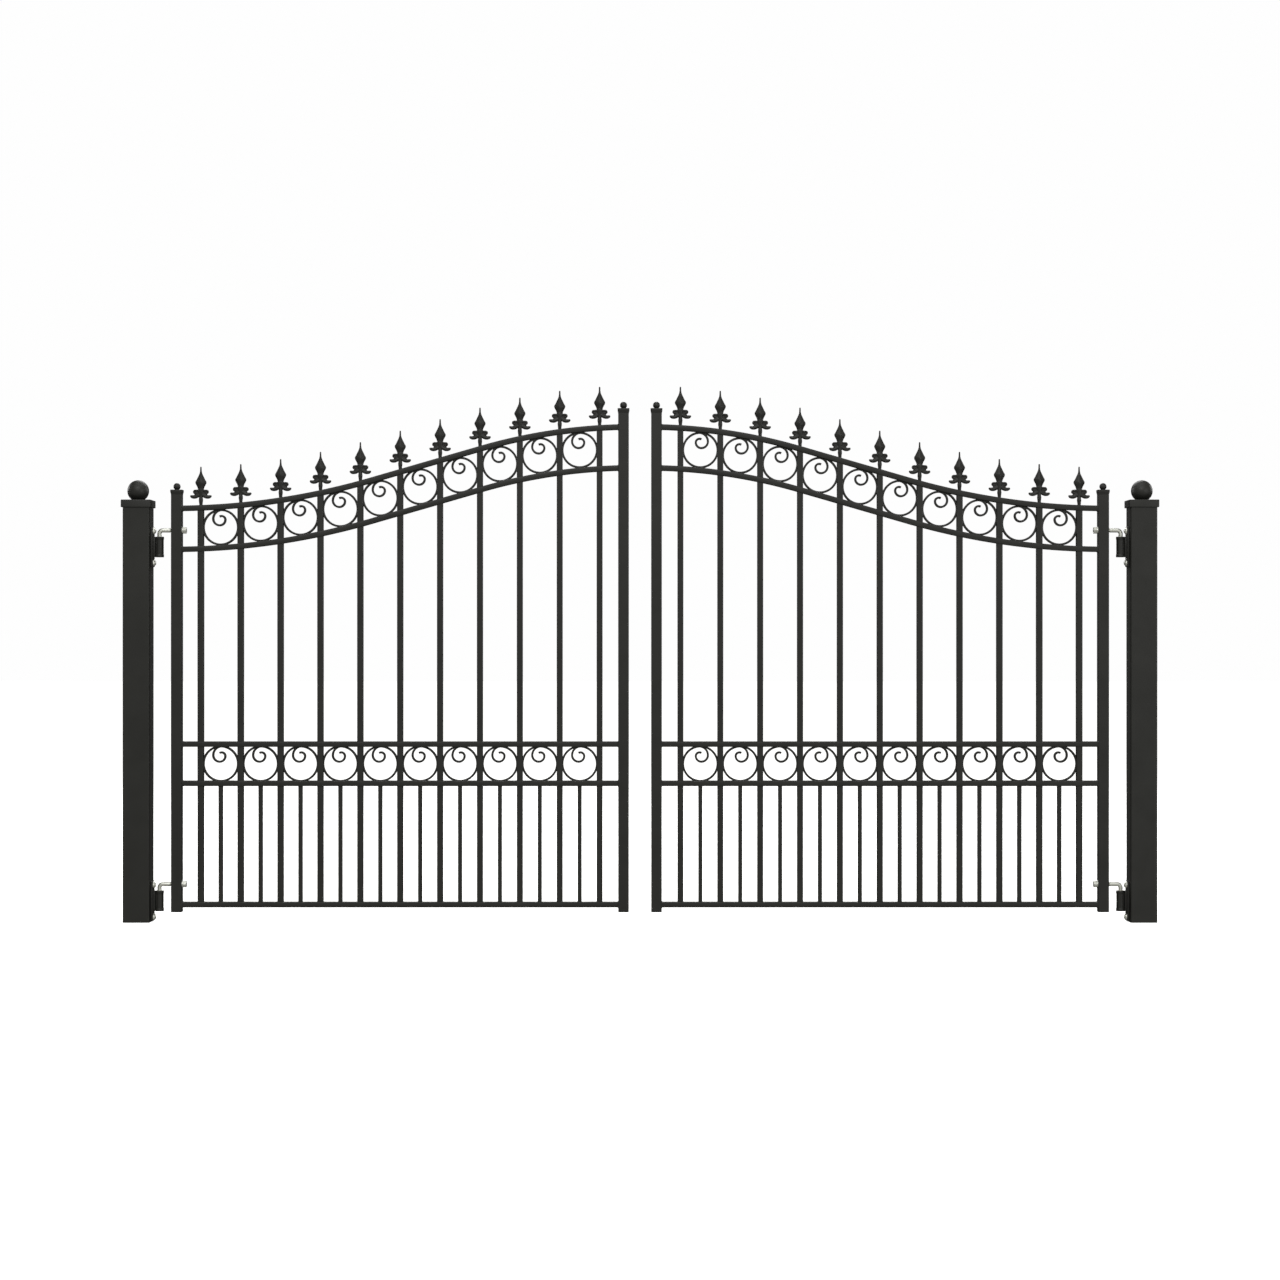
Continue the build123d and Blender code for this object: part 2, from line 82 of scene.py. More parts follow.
BAR_WIDTHS = {"right_leaf_pickets": 22 * MM, "right_leaf_thin_pickets": 15 * MM}
POST_X = middle("right_post", X)
POST_FACE = extent("right_post", X)[0]
INNER_FACE, OUTER_FACE = extent("right_leaf_top_rail", X)
PICKETS = evenly("right_leaf_pickets", 11)
BAYS = evenly("right_leaf_thin_pickets", 10)
RAIL_BOTTOMS = {
    name: extent(f"right_leaf_{name}", Z)[0] for name in ("bottom_rail", "lower_mid_rail", "upper_mid_rail")
}
RAIL_HEIGHT = extent("right_leaf_bottom_rail", Z)[1] - RAIL_BOTTOMS["bottom_rail"]
RAIL_DEPTH = 2 * extent("right_leaf_bottom_rail", Y)[1]
STILE_SIZE = 2 * extent("right_leaf_hinge_stile", Y)[1]
STILES = [
    (middle(f"right_leaf_{name}", X), extent(f"right_leaf_{name}", Z)[1] + 3 * MM)
    for name in ("hinge_stile", "meeting_stile")
]
ROD_RADIUS = 8 * MM
ROD_HEIGHTS = [extent(f"right_leaf_{name}_j_bolt", Z)[1] - ROD_RADIUS for name in ("upper", "lower")]
ROD_END = extent("right_leaf_upper_j_bolt", X)[0]
HINGE_X = extent("right_leaf_upper_j_bolt", X)[1] - ROD_RADIUS
BARREL_LENGTH = 77 * MM
BARREL_TOPS = [height - 24 * MM for height in ROD_HEIGHTS]

# The top of the leaf: a crown arc, a straight slope and a foot arc, along its upper edge.
ARCH_CROWN = (26.0 * MM, 1870.5 * MM)
ARCH_CROWN_RADIUS = 2060 * MM
ARCH_FOOT_X = 1756 * MM
ARCH_FOOT_RADIUS = 2670 * MM
ARCH_ANGLE = atan(0.289)
ARCH_DROP = 154 * MM

# Sizes of the hinge sets, and how far a piece reaches into the one that hides its end.
ROD_BEND = 13 * MM
PLATE_THICKNESS = 8 * MM
PLATE_HEIGHT = 150 * MM
SADDLE_HALF_DEPTH = 12 * MM
BOLT_OFFSET = 60 * MM
WASHER_THICKNESS = 3 * MM
NUT_ACROSS_FLATS = 24 * MM
NUT_HEIGHT = 13 * MM
OVERLAP = 4 * MM


def arch_height(x, depth=0.0):
    """Height at x of the curve that lies depth inside the leaf's upper edge."""
    crown_x, crown_z = ARCH_CROWN
    crown_centre = crown_z - ARCH_CROWN_RADIUS
    slope_start = crown_x + ARCH_CROWN_RADIUS * sin(ARCH_ANGLE)
    slope_top = crown_centre + ARCH_CROWN_RADIUS * cos(ARCH_ANGLE)
    slope_end = ARCH_FOOT_X - ARCH_FOOT_RADIUS * sin(ARCH_ANGLE)
    slope_bottom = slope_top - (slope_end - slope_start) * tan(ARCH_ANGLE)
    foot_centre = slope_bottom + ARCH_FOOT_RADIUS * cos(ARCH_ANGLE)
    shift = depth * sin(ARCH_ANGLE)
    if x < slope_start - shift:
        return crown_centre + sqrt((ARCH_CROWN_RADIUS - depth) ** 2 - (x - crown_x) ** 2)
    if x > slope_end - shift:
        return foot_centre - sqrt((ARCH_FOOT_RADIUS + depth) ** 2 - (x - ARCH_FOOT_X) ** 2)
    return slope_top - (x - slope_start) * tan(ARCH_ANGLE) - depth / cos(ARCH_ANGLE)


def turned(count):
    """Angles of a full turn in equal steps."""
    return [2 * pi * k / count for k in range(count)]


def hexagon_reach(across_flats, angle):
    """Distance from the axis of a hexagon to its edge at an angle."""
    return across_flats / 2 / cos((angle + pi / 6) % (pi / 3) - pi / 6)


# Middle of the lower row of scrolls, and the lower and upper edge of the arched row at x.
SCROLL_ROW = (RAIL_BOTTOMS["lower_mid_rail"] + RAIL_HEIGHT + RAIL_BOTTOMS["upper_mid_rail"]) / 2


def arched_row(x):
    return arch_height(x) - ARCH_DROP, arch_height(x, RAIL_HEIGHT)


# ---- colours and node helpers -------------------------------------------------

def linear(hex_colour):
    """Scene-linear RGBA of an sRGB hex colour such as 1e1e1c."""
    values = [int(hex_colour[i:i + 2], 16) / 255 for i in (0, 2, 4)]
    return [v / 12.92 if v <= 0.04045 else ((v + 0.055) / 1.055) ** 2.4 for v in values] + [1.0]


def add_node(tree, kind, inputs=None, **settings):
    """Adds a node with its settings; each input, by name or index, takes a value, a socket or a node."""
    node = tree.nodes.new(kind)
    for name, value in settings.items():
        setattr(node, name, value)
    for key, value in (inputs or {}).items():
        if isinstance(value, bpy.types.Node):
            value = value.outputs[0]
        if isinstance(value, bpy.types.NodeSocket):
            tree.links.new(value, node.inputs[key])
        else:
            node.inputs[key].default_value = value
    return node


# ---- geometry node trees --------------------------------------------------------

def start_tree(name, *sockets):
    """A node tree with a geometry input and the named inputs after it."""
    tree = bpy.data.node_groups.new(name, "GeometryNodeTree")
    tree.interface.new_socket("Geometry", in_out="OUTPUT", socket_type="NodeSocketGeometry")
    tree.interface.new_socket("Geometry", in_out="INPUT", socket_type="NodeSocketGeometry")
    for socket, kind in sockets:
        tree.interface.new_socket(socket, in_out="INPUT", socket_type=f"NodeSocket{kind}")
    return tree, add_node(tree, "NodeGroupInput").outputs


def end_tree(tree, geometry, finish):
    real = add_node(tree, "GeometryNodeRealizeInstances", {"Geometry": geometry})
    coated = add_node(tree, "GeometryNodeSetMaterial", {"Geometry": real, "Material": finish})
    add_node(tree, "NodeGroupOutput", {"Geometry": coated})
    return tree


def bar_tree():
    """Bar or tube of rounded rectangular section, swept along each run of edges."""
    tree, given = start_tree(
        "bar_along_its_run",
        ("Across", "Float"), ("Depth", "Float"), ("Corner", "Float"), ("Finish", "Material"),
    )
    run = add_node(tree, "GeometryNodeMeshToCurve", {"Mesh": given["Geometry"]})
    level = add_node(
        tree, "GeometryNodeSetCurveNormal", {"Curve": run, "Normal": (0, 1, 0)}, mode="FREE",
    )
    section = add_node(
        tree, "GeometryNodeCurvePrimitiveQuadrilateral",
        {"Width": given["Depth"], "Height": given["Across"]}, mode="RECTANGLE",
    )
    rounded = add_node(
        tree, "GeometryNodeFilletCurve",
        {"Curve": section, "Count": 3, "Radius": given["Corner"], "Limit Radius": True},
        mode="POLY",
    )
    bar = add_node(
        tree, "GeometryNodeCurveToMesh",
        {"Curve": level, "Profile Curve": rounded, "Fill Caps": True},
    )
    return end_tree(tree, bar, given["Finish"])


def bead_tree():
    """Weld bead along each run of edges: a small round bead with a ripple for each puddle of metal."""
    tree, given = start_tree(
        "weld_bead", ("Radius", "Float"), ("Ripple", "Float"), ("Depth", "Float"), ("Finish", "Material")
    )
    run = add_node(tree, "GeometryNodeMeshToCurve", {"Mesh": given["Geometry"]})
    step = add_node(tree, "ShaderNodeMath", {0: given["Ripple"], 1: 4.0}, operation="DIVIDE")
    even = add_node(
        tree, "GeometryNodeResampleCurve", {"Curve": run, "Length": step},
        mode="LENGTH",
    )
    along = add_node(tree, "GeometryNodeSplineParameter")
    turns = add_node(
        tree, "ShaderNodeMath", {0: along.outputs["Length"], 1: given["Ripple"]}, operation="DIVIDE"
    )
    angle = add_node(tree, "ShaderNodeMath", {0: turns, 1: 2 * pi}, operation="MULTIPLY")
    wave = add_node(tree, "ShaderNodeMath", {0: angle}, operation="SINE")
    width = add_node(
        tree, "ShaderNodeMath", {0: wave, 1: given["Depth"], 2: 1.0}, operation="MULTIPLY_ADD"
    )
    section = add_node(
        tree, "GeometryNodeCurvePrimitiveCircle", {"Resolution": 8, "Radius": given["Radius"]},
    )
    bead = add_node(
        tree, "GeometryNodeCurveToMesh",
        {"Curve": even, "Profile Curve": section, "Scale": width, "Fill Caps": True},
    )
    return end_tree(tree, bead, given["Finish"])


def copies_tree():
    """One copy of a master piece standing on each point."""
    tree, given = start_tree("copies_on_seats", ("Master", "Object"), ("Finish", "Material"))
    master = add_node(tree, "GeometryNodeObjectInfo", {"Object": given["Master"]})
    placed = add_node(
        tree, "GeometryNodeInstanceOnPoints",
        {"Points": given["Geometry"], "Instance": master.outputs["Geometry"]},
    )
    return end_tree(tree, placed, given["Finish"])


def grown(tree_name, start, finish, **given):
    """Plain mesh that a node tree makes of a start mesh; the inputs are given by name."""
    tree = bpy.data.node_groups[tree_name]
    given["Finish"] = bpy.data.materials[finish]
    holder = bpy.data.objects.new("holder", start)
    bpy.context.scene.collection.objects.link(holder)
    modifier = holder.modifiers.new("Grow", "NODES")
    modifier.node_group = tree
    for item in tree.interface.items_tree:
        if item.in_out == "INPUT" and item.name in given:
            modifier[item.identifier] = given[item.name]
    bpy.context.view_layer.update()
    mesh = bpy.data.meshes.new_from_object(holder.evaluated_get(bpy.context.evaluated_depsgraph_get()))
    holder.modifiers.remove(modifier)
    bpy.data.objects.remove(holder)
    return mesh


# ---- mesh helpers ------------------------------------------------------------------

def wire(runs, closed=False):
    """Mesh of loose edges through each run of points."""
    mesh = bpy.data.meshes.new("runs")
    points = []
    edges = []
    for run in runs:
        first = len(points)
        points += [tuple(p) for p in run]
        edges += [(i, i + 1) for i in range(first, len(points) - 1)]
        if closed:
            edges.append((len(points) - 1, first))
    mesh.from_pydata(points, edges, [])
    return mesh


def skin(shell, rings, loop=False):
    """Closed skin over rings of points; a ring of one point is a pole."""
    rows = [[shell.verts.new(point) for point in ring] for ring in rings]
    pairs = list(zip(rows, rows[1:] + ([rows[0]] if loop else [])))
    for low, high in pairs:
        for i in range(max(len(low), len(high))):
            j = i + 1
            corners = (low[i % len(low)], low[j % len(low)], high[j % len(high)], high[i % len(high)])
            shell.faces.new(dict.fromkeys(corners))
    for row in () if loop else (rows[0], rows[-1]):
        if len(row) > 2:
            shell.faces.new(row)


def arc(centre_a, centre_b, radius, start, end, steps=6):
    """Points on an arc from start to end degrees, as pairs."""
    angles = [radians(start + (end - start) * k / steps) for k in range(steps + 1)]
    return [(centre_a + radius * cos(t), centre_b + radius * sin(t)) for t in angles]


def lathe(shell, profile, place, count=48, loop=False):
    """Turned piece: profile is (radius, height) pairs along the axis of place."""
    rings = []
    for radius, height in profile:
        angles = turned(count if radius > 0 else 1)
        rings.append([place @ Vector((radius * cos(t), radius * sin(t), height)) for t in angles])
    skin(shell, rings, loop)


def square_ring(half, corner, height, place, steps=5):
    """Rounded square of points at one height."""
    points = []
    for turn in range(4):
        for a, b in arc(half - corner, half - corner, corner, 0, 90, steps):
            points.append(Matrix.Rotation(turn * pi / 2, 3, "Z") @ Vector((a, b, height)))
    return [place @ p for p in points]


def block(shell, low, high, edge):
    """Rectangular block between two corners, its edges rounded."""
    made = bmesh.ops.create_cube(shell, size=1)
    size = [b - a for a, b in zip(low, high)]
    centre = Vector([(a + b) / 2 for a, b in zip(low, high)])
    for vert in made["verts"]:
        vert.co = Vector([c * s for c, s in zip(vert.co, size)]) + centre
    edges = {e for vert in made["verts"] for e in vert.link_edges}
    bmesh.ops.bevel(shell, geom=list(edges), offset=edge, segments=3, profile=0.5, affect="EDGES")


def tube(shell, points, radii, flat=1.0, count=16):
    """Round bar with dished ends through points in the XZ plane; flat scales its depth."""
    rings = []
    points = [Vector(p) for p in points]
    for i, (point, radius) in enumerate(zip(points, radii)):
        along = (points[min(i + 1, len(points) - 1)] - points[max(i - 1, 0)]).normalized()
        across = Vector((0, 1, 0)).cross(along) * radius
        depths = [(t, Vector((0, flat * radius * sin(t), 0))) for t in turned(count)]
        rings.append([point + across * cos(t) + deep for t, deep in depths])
    dish = 0.6
    tip = (points[-1] - points[-2]).normalized() * radii[-1] * dish
    tail = (points[0] - points[1]).normalized() * radii[0] * dish
    skin(shell, [[points[0] + tail], *rings, [points[-1] + tip]])


def across_the_gate(side, x, z):
    """Frame whose Z axis points outwards along the gate, with X upright."""
    return Matrix(((0, 0, side, side * x), (0, side, 0, 0), (1, 0, 0, z), (0, 0, 0, 1)))


def upright(side, x, z):
    """Frame whose Z axis points up."""
    return Matrix.Translation((side * x, 0, z))


def across_ring(side, x, z, reaches, height):
    """Ring of points round an axis along the gate, at the given distances from it."""
    place = across_the_gate(side, x, z)
    turns = turned(len(reaches))
    return [place @ Vector((reach * cos(t), reach * sin(t), height)) for reach, t in zip(reaches, turns)]


def to_mesh(shell, name):
    mesh = bpy.data.meshes.new(name)
    shell.to_mesh(mesh)
    shell.free()
    return mesh


def finished(name, mesh, finish, body, *nodes, slot=None, crease=40):
    """Hands a mesh over as a finished piece: facing out, smooth up to the crease angle, on its body."""
    shell = bmesh.new()
    shell.from_mesh(mesh)
    bmesh.ops.remove_doubles(shell, verts=shell.verts, dist=0.001 * MM)
    bmesh.ops.recalc_face_normals(shell, faces=shell.faces)
    shell.to_mesh(mesh)
    shell.free()
    mesh.name = name
    mesh.shade_smooth()
    mesh.set_sharp_from_angle(angle=radians(crease))
    mesh.materials.clear()
    mesh.materials.append(bpy.data.materials[finish])
    piece = bpy.data.objects.new(name, mesh)
    bpy.context.scene.collection.objects.link(piece)
    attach(piece, body)
    if nodes:
        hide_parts(*nodes)


def master_object(mesh, name):
    piece = bpy.data.objects.new(name, mesh)
    bpy.context.scene.collection.objects.link(piece)
    return piece


def bars(name, runs, across, depth, corner, body, node):
    """Steel bars or tubes along runs of points, as one powder-coated piece."""
    mesh = grown("bar_along_its_run", wire(runs), STEEL, Across=across, Depth=depth, Corner=corner)
    finished(name, mesh, STEEL, body, node)


def copies(master_mesh, seats, finish):
    """Plain mesh of one copy of the master on every seat."""
    master = master_object(master_mesh, master_mesh.name)
    mesh = grown("copies_on_seats", wire([[seat] for seat in seats]), finish, Master=master)
    bpy.data.objects.remove(master)
    return mesh


# ---- finishes -----------------------------------------------------------------------

# The values that a cloudy pattern mostly lies between, which a finish spreads over its own range.
NOISE_RANGE = {"From Min": 0.3, "From Max": 0.7}


def new_material(name):
    material = bpy.data.materials.new(name)
    material.use_nodes = True
    material.node_tree.nodes.clear()
    tree = material.node_tree
    place = add_node(tree, "ShaderNodeTexCoord").outputs["Object"]
    return tree, place


def end_material(tree, inputs):
    shader = add_node(tree, "ShaderNodeBsdfPrincipled", inputs)
    add_node(tree, "ShaderNodeOutputMaterial", {"Surface": shader})


def make_coated_steel(colours):
    # Welded mild steel tube under baked polyester powder: an even satin black, whose orange peel
    # of about 1.5 mm breaks up each highlight, with wide patches a shade duller than the rest.
    tree, place = new_material(STEEL)
    peel = add_node(tree, "ShaderNodeTexNoise", {"Vector": place, "Scale": 1 / (1.5 * MM), "Detail": 1.0})
    patches = add_node(
        tree, "ShaderNodeTexNoise", {"Vector": place, "Scale": 1 / (180 * MM), "Detail": 3.0}
    )
    share = add_node(tree, "ShaderNodeMapRange", {"Value": patches, **NOISE_RANGE})
    colour = add_node(
        tree, "ShaderNodeMix", {0: share, 6: colours.coat_deep, 7: colours.coat_dull}, data_type="RGBA"
    )
    clouds = add_node(tree, "ShaderNodeTexNoise", {"Vector": place, "Scale": 1 / (60 * MM)})
    gloss = add_node(
        tree, "ShaderNodeMapRange",
        {"Value": clouds, **NOISE_RANGE, "To Min": 0.40, "To Max": 0.52},
    )
    normal = add_node(tree, "ShaderNodeBump", {"Height": peel, "Distance": 0.05 * MM, "Strength": 1.0})
    end_material(tree, {"Base Color": colour.outputs[2], "Roughness": gloss, "IOR": 1.45, "Normal": normal})


def make_coated_casting(colours):
    # Sand-cast iron under the same powder: the grain of the mould, about 1 mm, and shallow
    # hollows of 6 mm stay visible through the coat and spread its highlights.
    tree, place = new_material(CASTING)
    grain = add_node(tree, "ShaderNodeTexNoise", {"Vector": place, "Scale": 1 / (1.1 * MM)})
    hollows = add_node(tree, "ShaderNodeTexNoise", {"Vector": place, "Scale": 1 / (6 * MM)})
    patches = add_node(
        tree, "ShaderNodeTexNoise", {"Vector": place, "Scale": 1 / (40 * MM), "Detail": 3.0}
    )
    share = add_node(tree, "ShaderNodeMapRange", {"Value": patches, **NOISE_RANGE})
    colour = add_node(
        tree, "ShaderNodeMix", {0: share, 6: colours.coat_deep, 7: colours.coat_dull}, data_type="RGBA"
    )
    dips = add_node(tree, "ShaderNodeBump", {"Height": hollows, "Distance": 0.15 * MM, "Strength": 1.0})
    normal = add_node(
        tree, "ShaderNodeBump",
        {"Height": grain, "Distance": 0.07 * MM, "Strength": 1.0, "Normal": dips},
    )
    gloss = add_node(
        tree, "ShaderNodeMapRange",
        {"Value": grain, **NOISE_RANGE, "To Min": 0.42, "To Max": 0.56},
    )
    end_material(tree, {"Base Color": colour.outputs[2], "Roughness": gloss, "IOR": 1.45, "Normal": normal})


def make_zinc(colours):
    # Carbon steel with bright electroplated zinc and a yellow passivate: pale grey metal with
    # faint straw clouds, and a fine rolled grain that draws highlights out.
    tree, place = new_material(ZINC)
    clouds = add_node(tree, "ShaderNodeTexNoise", {"Vector": place, "Scale": 1 / (9 * MM), "Detail": 3.0})
    grain = add_node(tree, "ShaderNodeTexNoise", {"Vector": place, "Scale": 1 / (0.6 * MM)})
    share = add_node(tree, "ShaderNodeMapRange", {"Value": clouds, **NOISE_RANGE})
    colour = add_node(
        tree, "ShaderNodeMix", {0: share, 6: colours.zinc, 7: colours.passivate}, data_type="RGBA"
    )
    gloss = add_node(
        tree, "ShaderNodeMapRange",
        {"Value": clouds, **NOISE_RANGE, "To Min": 0.36, "To Max": 0.48},
    )
    normal = add_node(tree, "ShaderNodeBump", {"Height": grain, "Distance": 0.02 * MM, "Strength": 1.0})
    end_material(
        tree, {"Base Color": colour.outputs[2], "Metallic": 1.0, "Roughness": gloss, "Normal": normal}
    )


def make_nylon(colours):
    # Turned polyamide bush: ivory, slightly waxy, with faint tool rings of 0.4 mm.
    tree, place = new_material("turned_nylon")
    rings = add_node(
        tree, "ShaderNodeTexWave", {"Vector": place, "Scale": 1 / (0.4 * MM), "Distortion": 0.4},
        bands_direction="Z",
    )
    stain = add_node(tree, "ShaderNodeTexNoise", {"Vector": place, "Scale": 1 / (12 * MM)})
    share = add_node(tree, "ShaderNodeMapRange", {"Value": stain, **NOISE_RANGE})
    colour = add_node(
        tree, "ShaderNodeMix", {0: share, 6: colours.nylon, 7: linear("b9b4a4")}, data_type="RGBA"
    )
    normal = add_node(
        tree, "ShaderNodeBump",
        {"Height": rings.outputs["Fac"], "Distance": 0.01 * MM, "Strength": 1.0},
    )
    end_material(tree, {"Base Color": colour.outputs[2], "Roughness": 0.45, "IOR": 1.53, "Normal": normal})


def make_black_plastic(colours):
    # Injection-moulded polyethylene: a dull black with a spark-eroded grain of about 0.8 mm.
    tree, place = new_material("moulded_polyethylene")
    grain = add_node(tree, "ShaderNodeTexNoise", {"Vector": place, "Scale": 1 / (0.8 * MM)})
    colour = add_node(
        tree, "ShaderNodeMix", {0: grain, 6: colours.plastic, 7: linear("232322")}, data_type="RGBA"
    )
    normal = add_node(tree, "ShaderNodeBump", {"Height": grain, "Distance": 0.04 * MM, "Strength": 1.0})
    end_material(tree, {"Base Color": colour.outputs[2], "Roughness": 0.55, "IOR": 1.51, "Normal": normal})


def make_studio_floor():
    # Matt painted studio floor, near white, with a faint roller stipple of 4 mm.
    tree, place = new_material("painted_studio_floor")
    stipple = add_node(tree, "ShaderNodeTexNoise", {"Vector": place, "Scale": 1 / (4 * MM)})
    patches = add_node(tree, "ShaderNodeTexNoise", {"Vector": place, "Scale": 1 / 0.8})
    colour = add_node(
        tree, "ShaderNodeMix", {0: patches, 6: linear("f6f6f5"), 7: linear("fbfbfa")}, data_type="RGBA"
    )
    normal = add_node(tree, "ShaderNodeBump", {"Height": stipple, "Distance": 0.02 * MM, "Strength": 1.0})
    end_material(
        tree,
        {
            "Base Color": colour.outputs[2], "Roughness": 0.9, "Normal": normal,
            "Emission Color": linear("ffffff"), "Emission Strength": 0.8,
        },
    )


FRAME_FINISHES = {
    STEEL: ("post", "leaf_hinge_stile", "leaf_meeting_stile"),
    ZINC: ("post_inserts", "leaf_rod_sleeves"),
    "turned_nylon": ("hinge_bushes", "hinge_thrust_pads"),
    "moulded_polyethylene": ("leaf_stile_foot_plugs",),
}


# ---- settings --------------------------------------------------------------------------

def length_setting(name, description, millimetres):
    return bpy.props.FloatProperty(
        name=name, description=description, default=millimetres * MM, min=0.0,
        subtype="DISTANCE", unit="LENGTH",
    )


def colour_setting(name, description, hex_colour):
    return bpy.props.FloatVectorProperty(
        name=name, description=description, default=linear(hex_colour), size=4, min=0.0, max=1.0,
        subtype="COLOR",
    )


class GateSizes(bpy.types.PropertyGroup):
    """Sizes that a user would change."""

    rail_corner: length_setting("Rail corner", "Outer corner radius of the rail tube", 1.5)
    picket_corner: length_setting("Picket corner", "Outer corner radius of the picket tube", 2)
    thin_picket_corner: length_setting("Thin picket corner", "Outer corner radius of the thin tube", 1.5)
    scroll_radius: length_setting("Scroll radius", "Radius of the scroll ring to the middle of its bar", 65)
    scroll_bar: length_setting("Scroll bar", "Width of the scroll bar in the plane of the gate", 8)
    scroll_depth: length_setting("Scroll depth", "Depth of the scroll bar", 15)
    scroll_corner: length_setting("Scroll corner", "Corner radius of the scroll bar", 1.5)
    finial_voxel: length_setting("Casting fineness", "Grid on which the spear heads are blended", 0.7)
    thread_pitch: length_setting("Thread pitch", "Pitch of the hinge rod's thread", 2)
    bead_radius: length_setting("Weld bead", "Radius of the weld beads", 1.8)


class GateColours(bpy.types.PropertyGroup):
    """Colours that a user would change."""

    coat_deep: colour_setting("Coat", "Powder coat where it is cleanest", "1a1a17")
    coat_dull: colour_setting("Coat, dull", "Powder coat in its duller patches", "20201d")
    zinc: colour_setting("Zinc", "Zinc plating", "a6a694")
    passivate: colour_setting("Passivate", "Straw tint over the zinc", "8f8f76")
    nylon: colour_setting("Nylon", "Bush and thrust pad", "cfccc0")
    plastic: colour_setting("Plastic", "Plugs in the feet of the stiles", "181818")


# ---- operators ----------------------------------------------------------------------------

class GATE_OT_finishes(bpy.types.Operator):
    """Make the finishes and give them to the parts of the frame that stay in view"""

    bl_idname = "gate.finishes"
    bl_label = "Finishes"

    def execute(self, context):
        colours = context.scene.gate_colours
        make_coated_steel(colours)
        make_coated_casting(colours)
        make_zinc(colours)
        make_nylon(colours)
        make_black_plastic(colours)
        make_studio_floor()
        for make in (bar_tree, bead_tree, copies_tree):
            make()
        for finish, names in FRAME_FINISHES.items():
            for side_name, _ in SIDES:
                for name in names:
                    for material_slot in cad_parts[f"{side_name}_{name}"].material_slots:
                        material_slot.material = bpy.data.materials[finish]
        return {"FINISHED"}


def ball_profile(radius, crown, seat, flare, lift, steps):
    """Outline of a ball that ends at height crown and widens into a fillet where it meets its seat.

    The flare is how far the fillet stands out below the seat and above it, and how high it rises.
    The ball itself starts lift degrees above the seat.
    """
    centre = crown - radius
    meet = asin((seat - centre) / radius)
    foot = radius * cos(meet)
    profile = [(0, seat - 1 * MM), (foot + flare[0], seat - 1 * MM), (foot + flare[1], seat + flare[2])]
    return profile + arc(0, centre, radius, degrees(meet) + lift, 90, steps)[:-1] + [(0, crown)]


class GATE_OT_post_caps(bpy.types.Operator):
    """Cap each post with a box cap and a ball"""

    bl_idname = "gate.post_caps"
    bl_label = "Post caps and balls"

    def execute(self, context):
        for side_name, side in SIDES:
            near, far = extent(f"{side_name}_post_cap", X)
            half = (far - near) / 2
            bottom, top = extent(f"{side_name}_post", Z)[1], extent(f"{side_name}_post_cap", Z)[1]
            place = upright(side, POST_X, 0)
            rounding = 3 * MM
            profile = [(half - 1 * MM, bottom), (half, bottom + 1 * MM)]
            profile += arc(half - rounding, top - rounding, rounding, 0, 90, 5)
            shell = bmesh.new()
            rings = [square_ring(h, max(rounding - (half - h), 0.5 * MM), z, place) for h, z in profile]
            skin(shell, rings)
            finished(
                f"{side_name}_post_cap_box", to_mesh(shell, "cap"), STEEL, "posts",
                f"{side_name}_post_cap", slot="black_casting",
            )

            near, far = extent(f"{side_name}_post_ball", X)
            radius = (far - near) / 2
            crown = extent(f"{side_name}_post_ball", Z)[1]
            shell = bmesh.new()
            profile = ball_profile(radius, crown, top, (2.2 * MM, 1.6 * MM, 0.8 * MM), 4, 26)
            lathe(shell, profile, place, 64)
            finished(
                f"{side_name}_post_ball_cast", to_mesh(shell, "ball"), CASTING, "posts",
                f"{side_name}_post_ball",
            )
        return {"FINISHED"}


class GATE_OT_hinge_sets(bpy.types.Operator):
    """Bolt a hinge plate with its barrel to each post, twice"""

    bl_idname = "gate.hinge_sets"
    bl_label = "Hinge plates, barrels and bolts"

    def execute(self, context):
        plate_half = extent("right_hinge_plates", Y)[1]
        face = POST_FACE - PLATE_THICKNESS
        for side_name, side in SIDES:
            plates = bmesh.new()
            barrels = bmesh.new()
            seats = []
            for top in BARREL_TOPS:
                centre = top - BARREL_LENGTH / 2
                near, far = sorted((side * POST_FACE, side * face))
                block(
                    plates, (near, -plate_half, centre - PLATE_HEIGHT / 2),
                    (far, plate_half, centre + PLATE_HEIGHT / 2), 1.2 * MM,
                )
                near, far = sorted((side * (face + 2 * MM), side * (HINGE_X + 14.5 * MM)))
                block(
                    plates, (near, -SADDLE_HALF_DEPTH, top - BARREL_LENGTH + 0.6 * MM),
                    (far, SADDLE_HALF_DEPTH, top - 0.6 * MM), 1 * MM,
                )
                axis = upright(side, HINGE_X, top - BARREL_LENGTH)
                lathe(barrels, barrel_profile(), axis, 56, loop=True)
                seats += [(side * face, 0, centre + offset) for offset in (BOLT_OFFSET, -BOLT_OFFSET)]
            for name, made, shell in (("plates", "welded", plates), ("barrels", "turned", barrels)):
                finished(
                    f"{side_name}_hinge_{name}_{made}", to_mesh(shell, name), STEEL,
                    "posts", f"{side_name}_hinge_{name}",
                )
            finished(
                f"{side_name}_plate_bolts_domed", copies(dome_bolt(side), seats, ZINC),
                ZINC, "posts", f"{side_name}_plate_bolts",
            )
        return {"FINISHED"}


def barrel_profile():
    """Closed outline of a hinge barrel: a rim at both ends, and the bore of the bush."""
    body, rim, bore, rim_height = 16 * MM, 17 * MM, 13 * MM, 11 * MM
    edge = 1 * MM
    outside = [(rim - edge, 0), *arc(rim - edge, edge, edge, -60, 0, 3)]
    outside += [(rim, rim_height - 0.6 * MM), (rim - 0.4 * MM, rim_height), (body, rim_height + 0.4 * MM)]
    mirrored = [(r, BARREL_LENGTH - z) for r, z in reversed(outside)]
    break_edge = 0.5 * MM
    bored = [(bore + break_edge, BARREL_LENGTH), (bore, BARREL_LENGTH - break_edge)]
    return outside + mirrored + bored + [(bore, break_edge), (bore + break_edge, 0)]


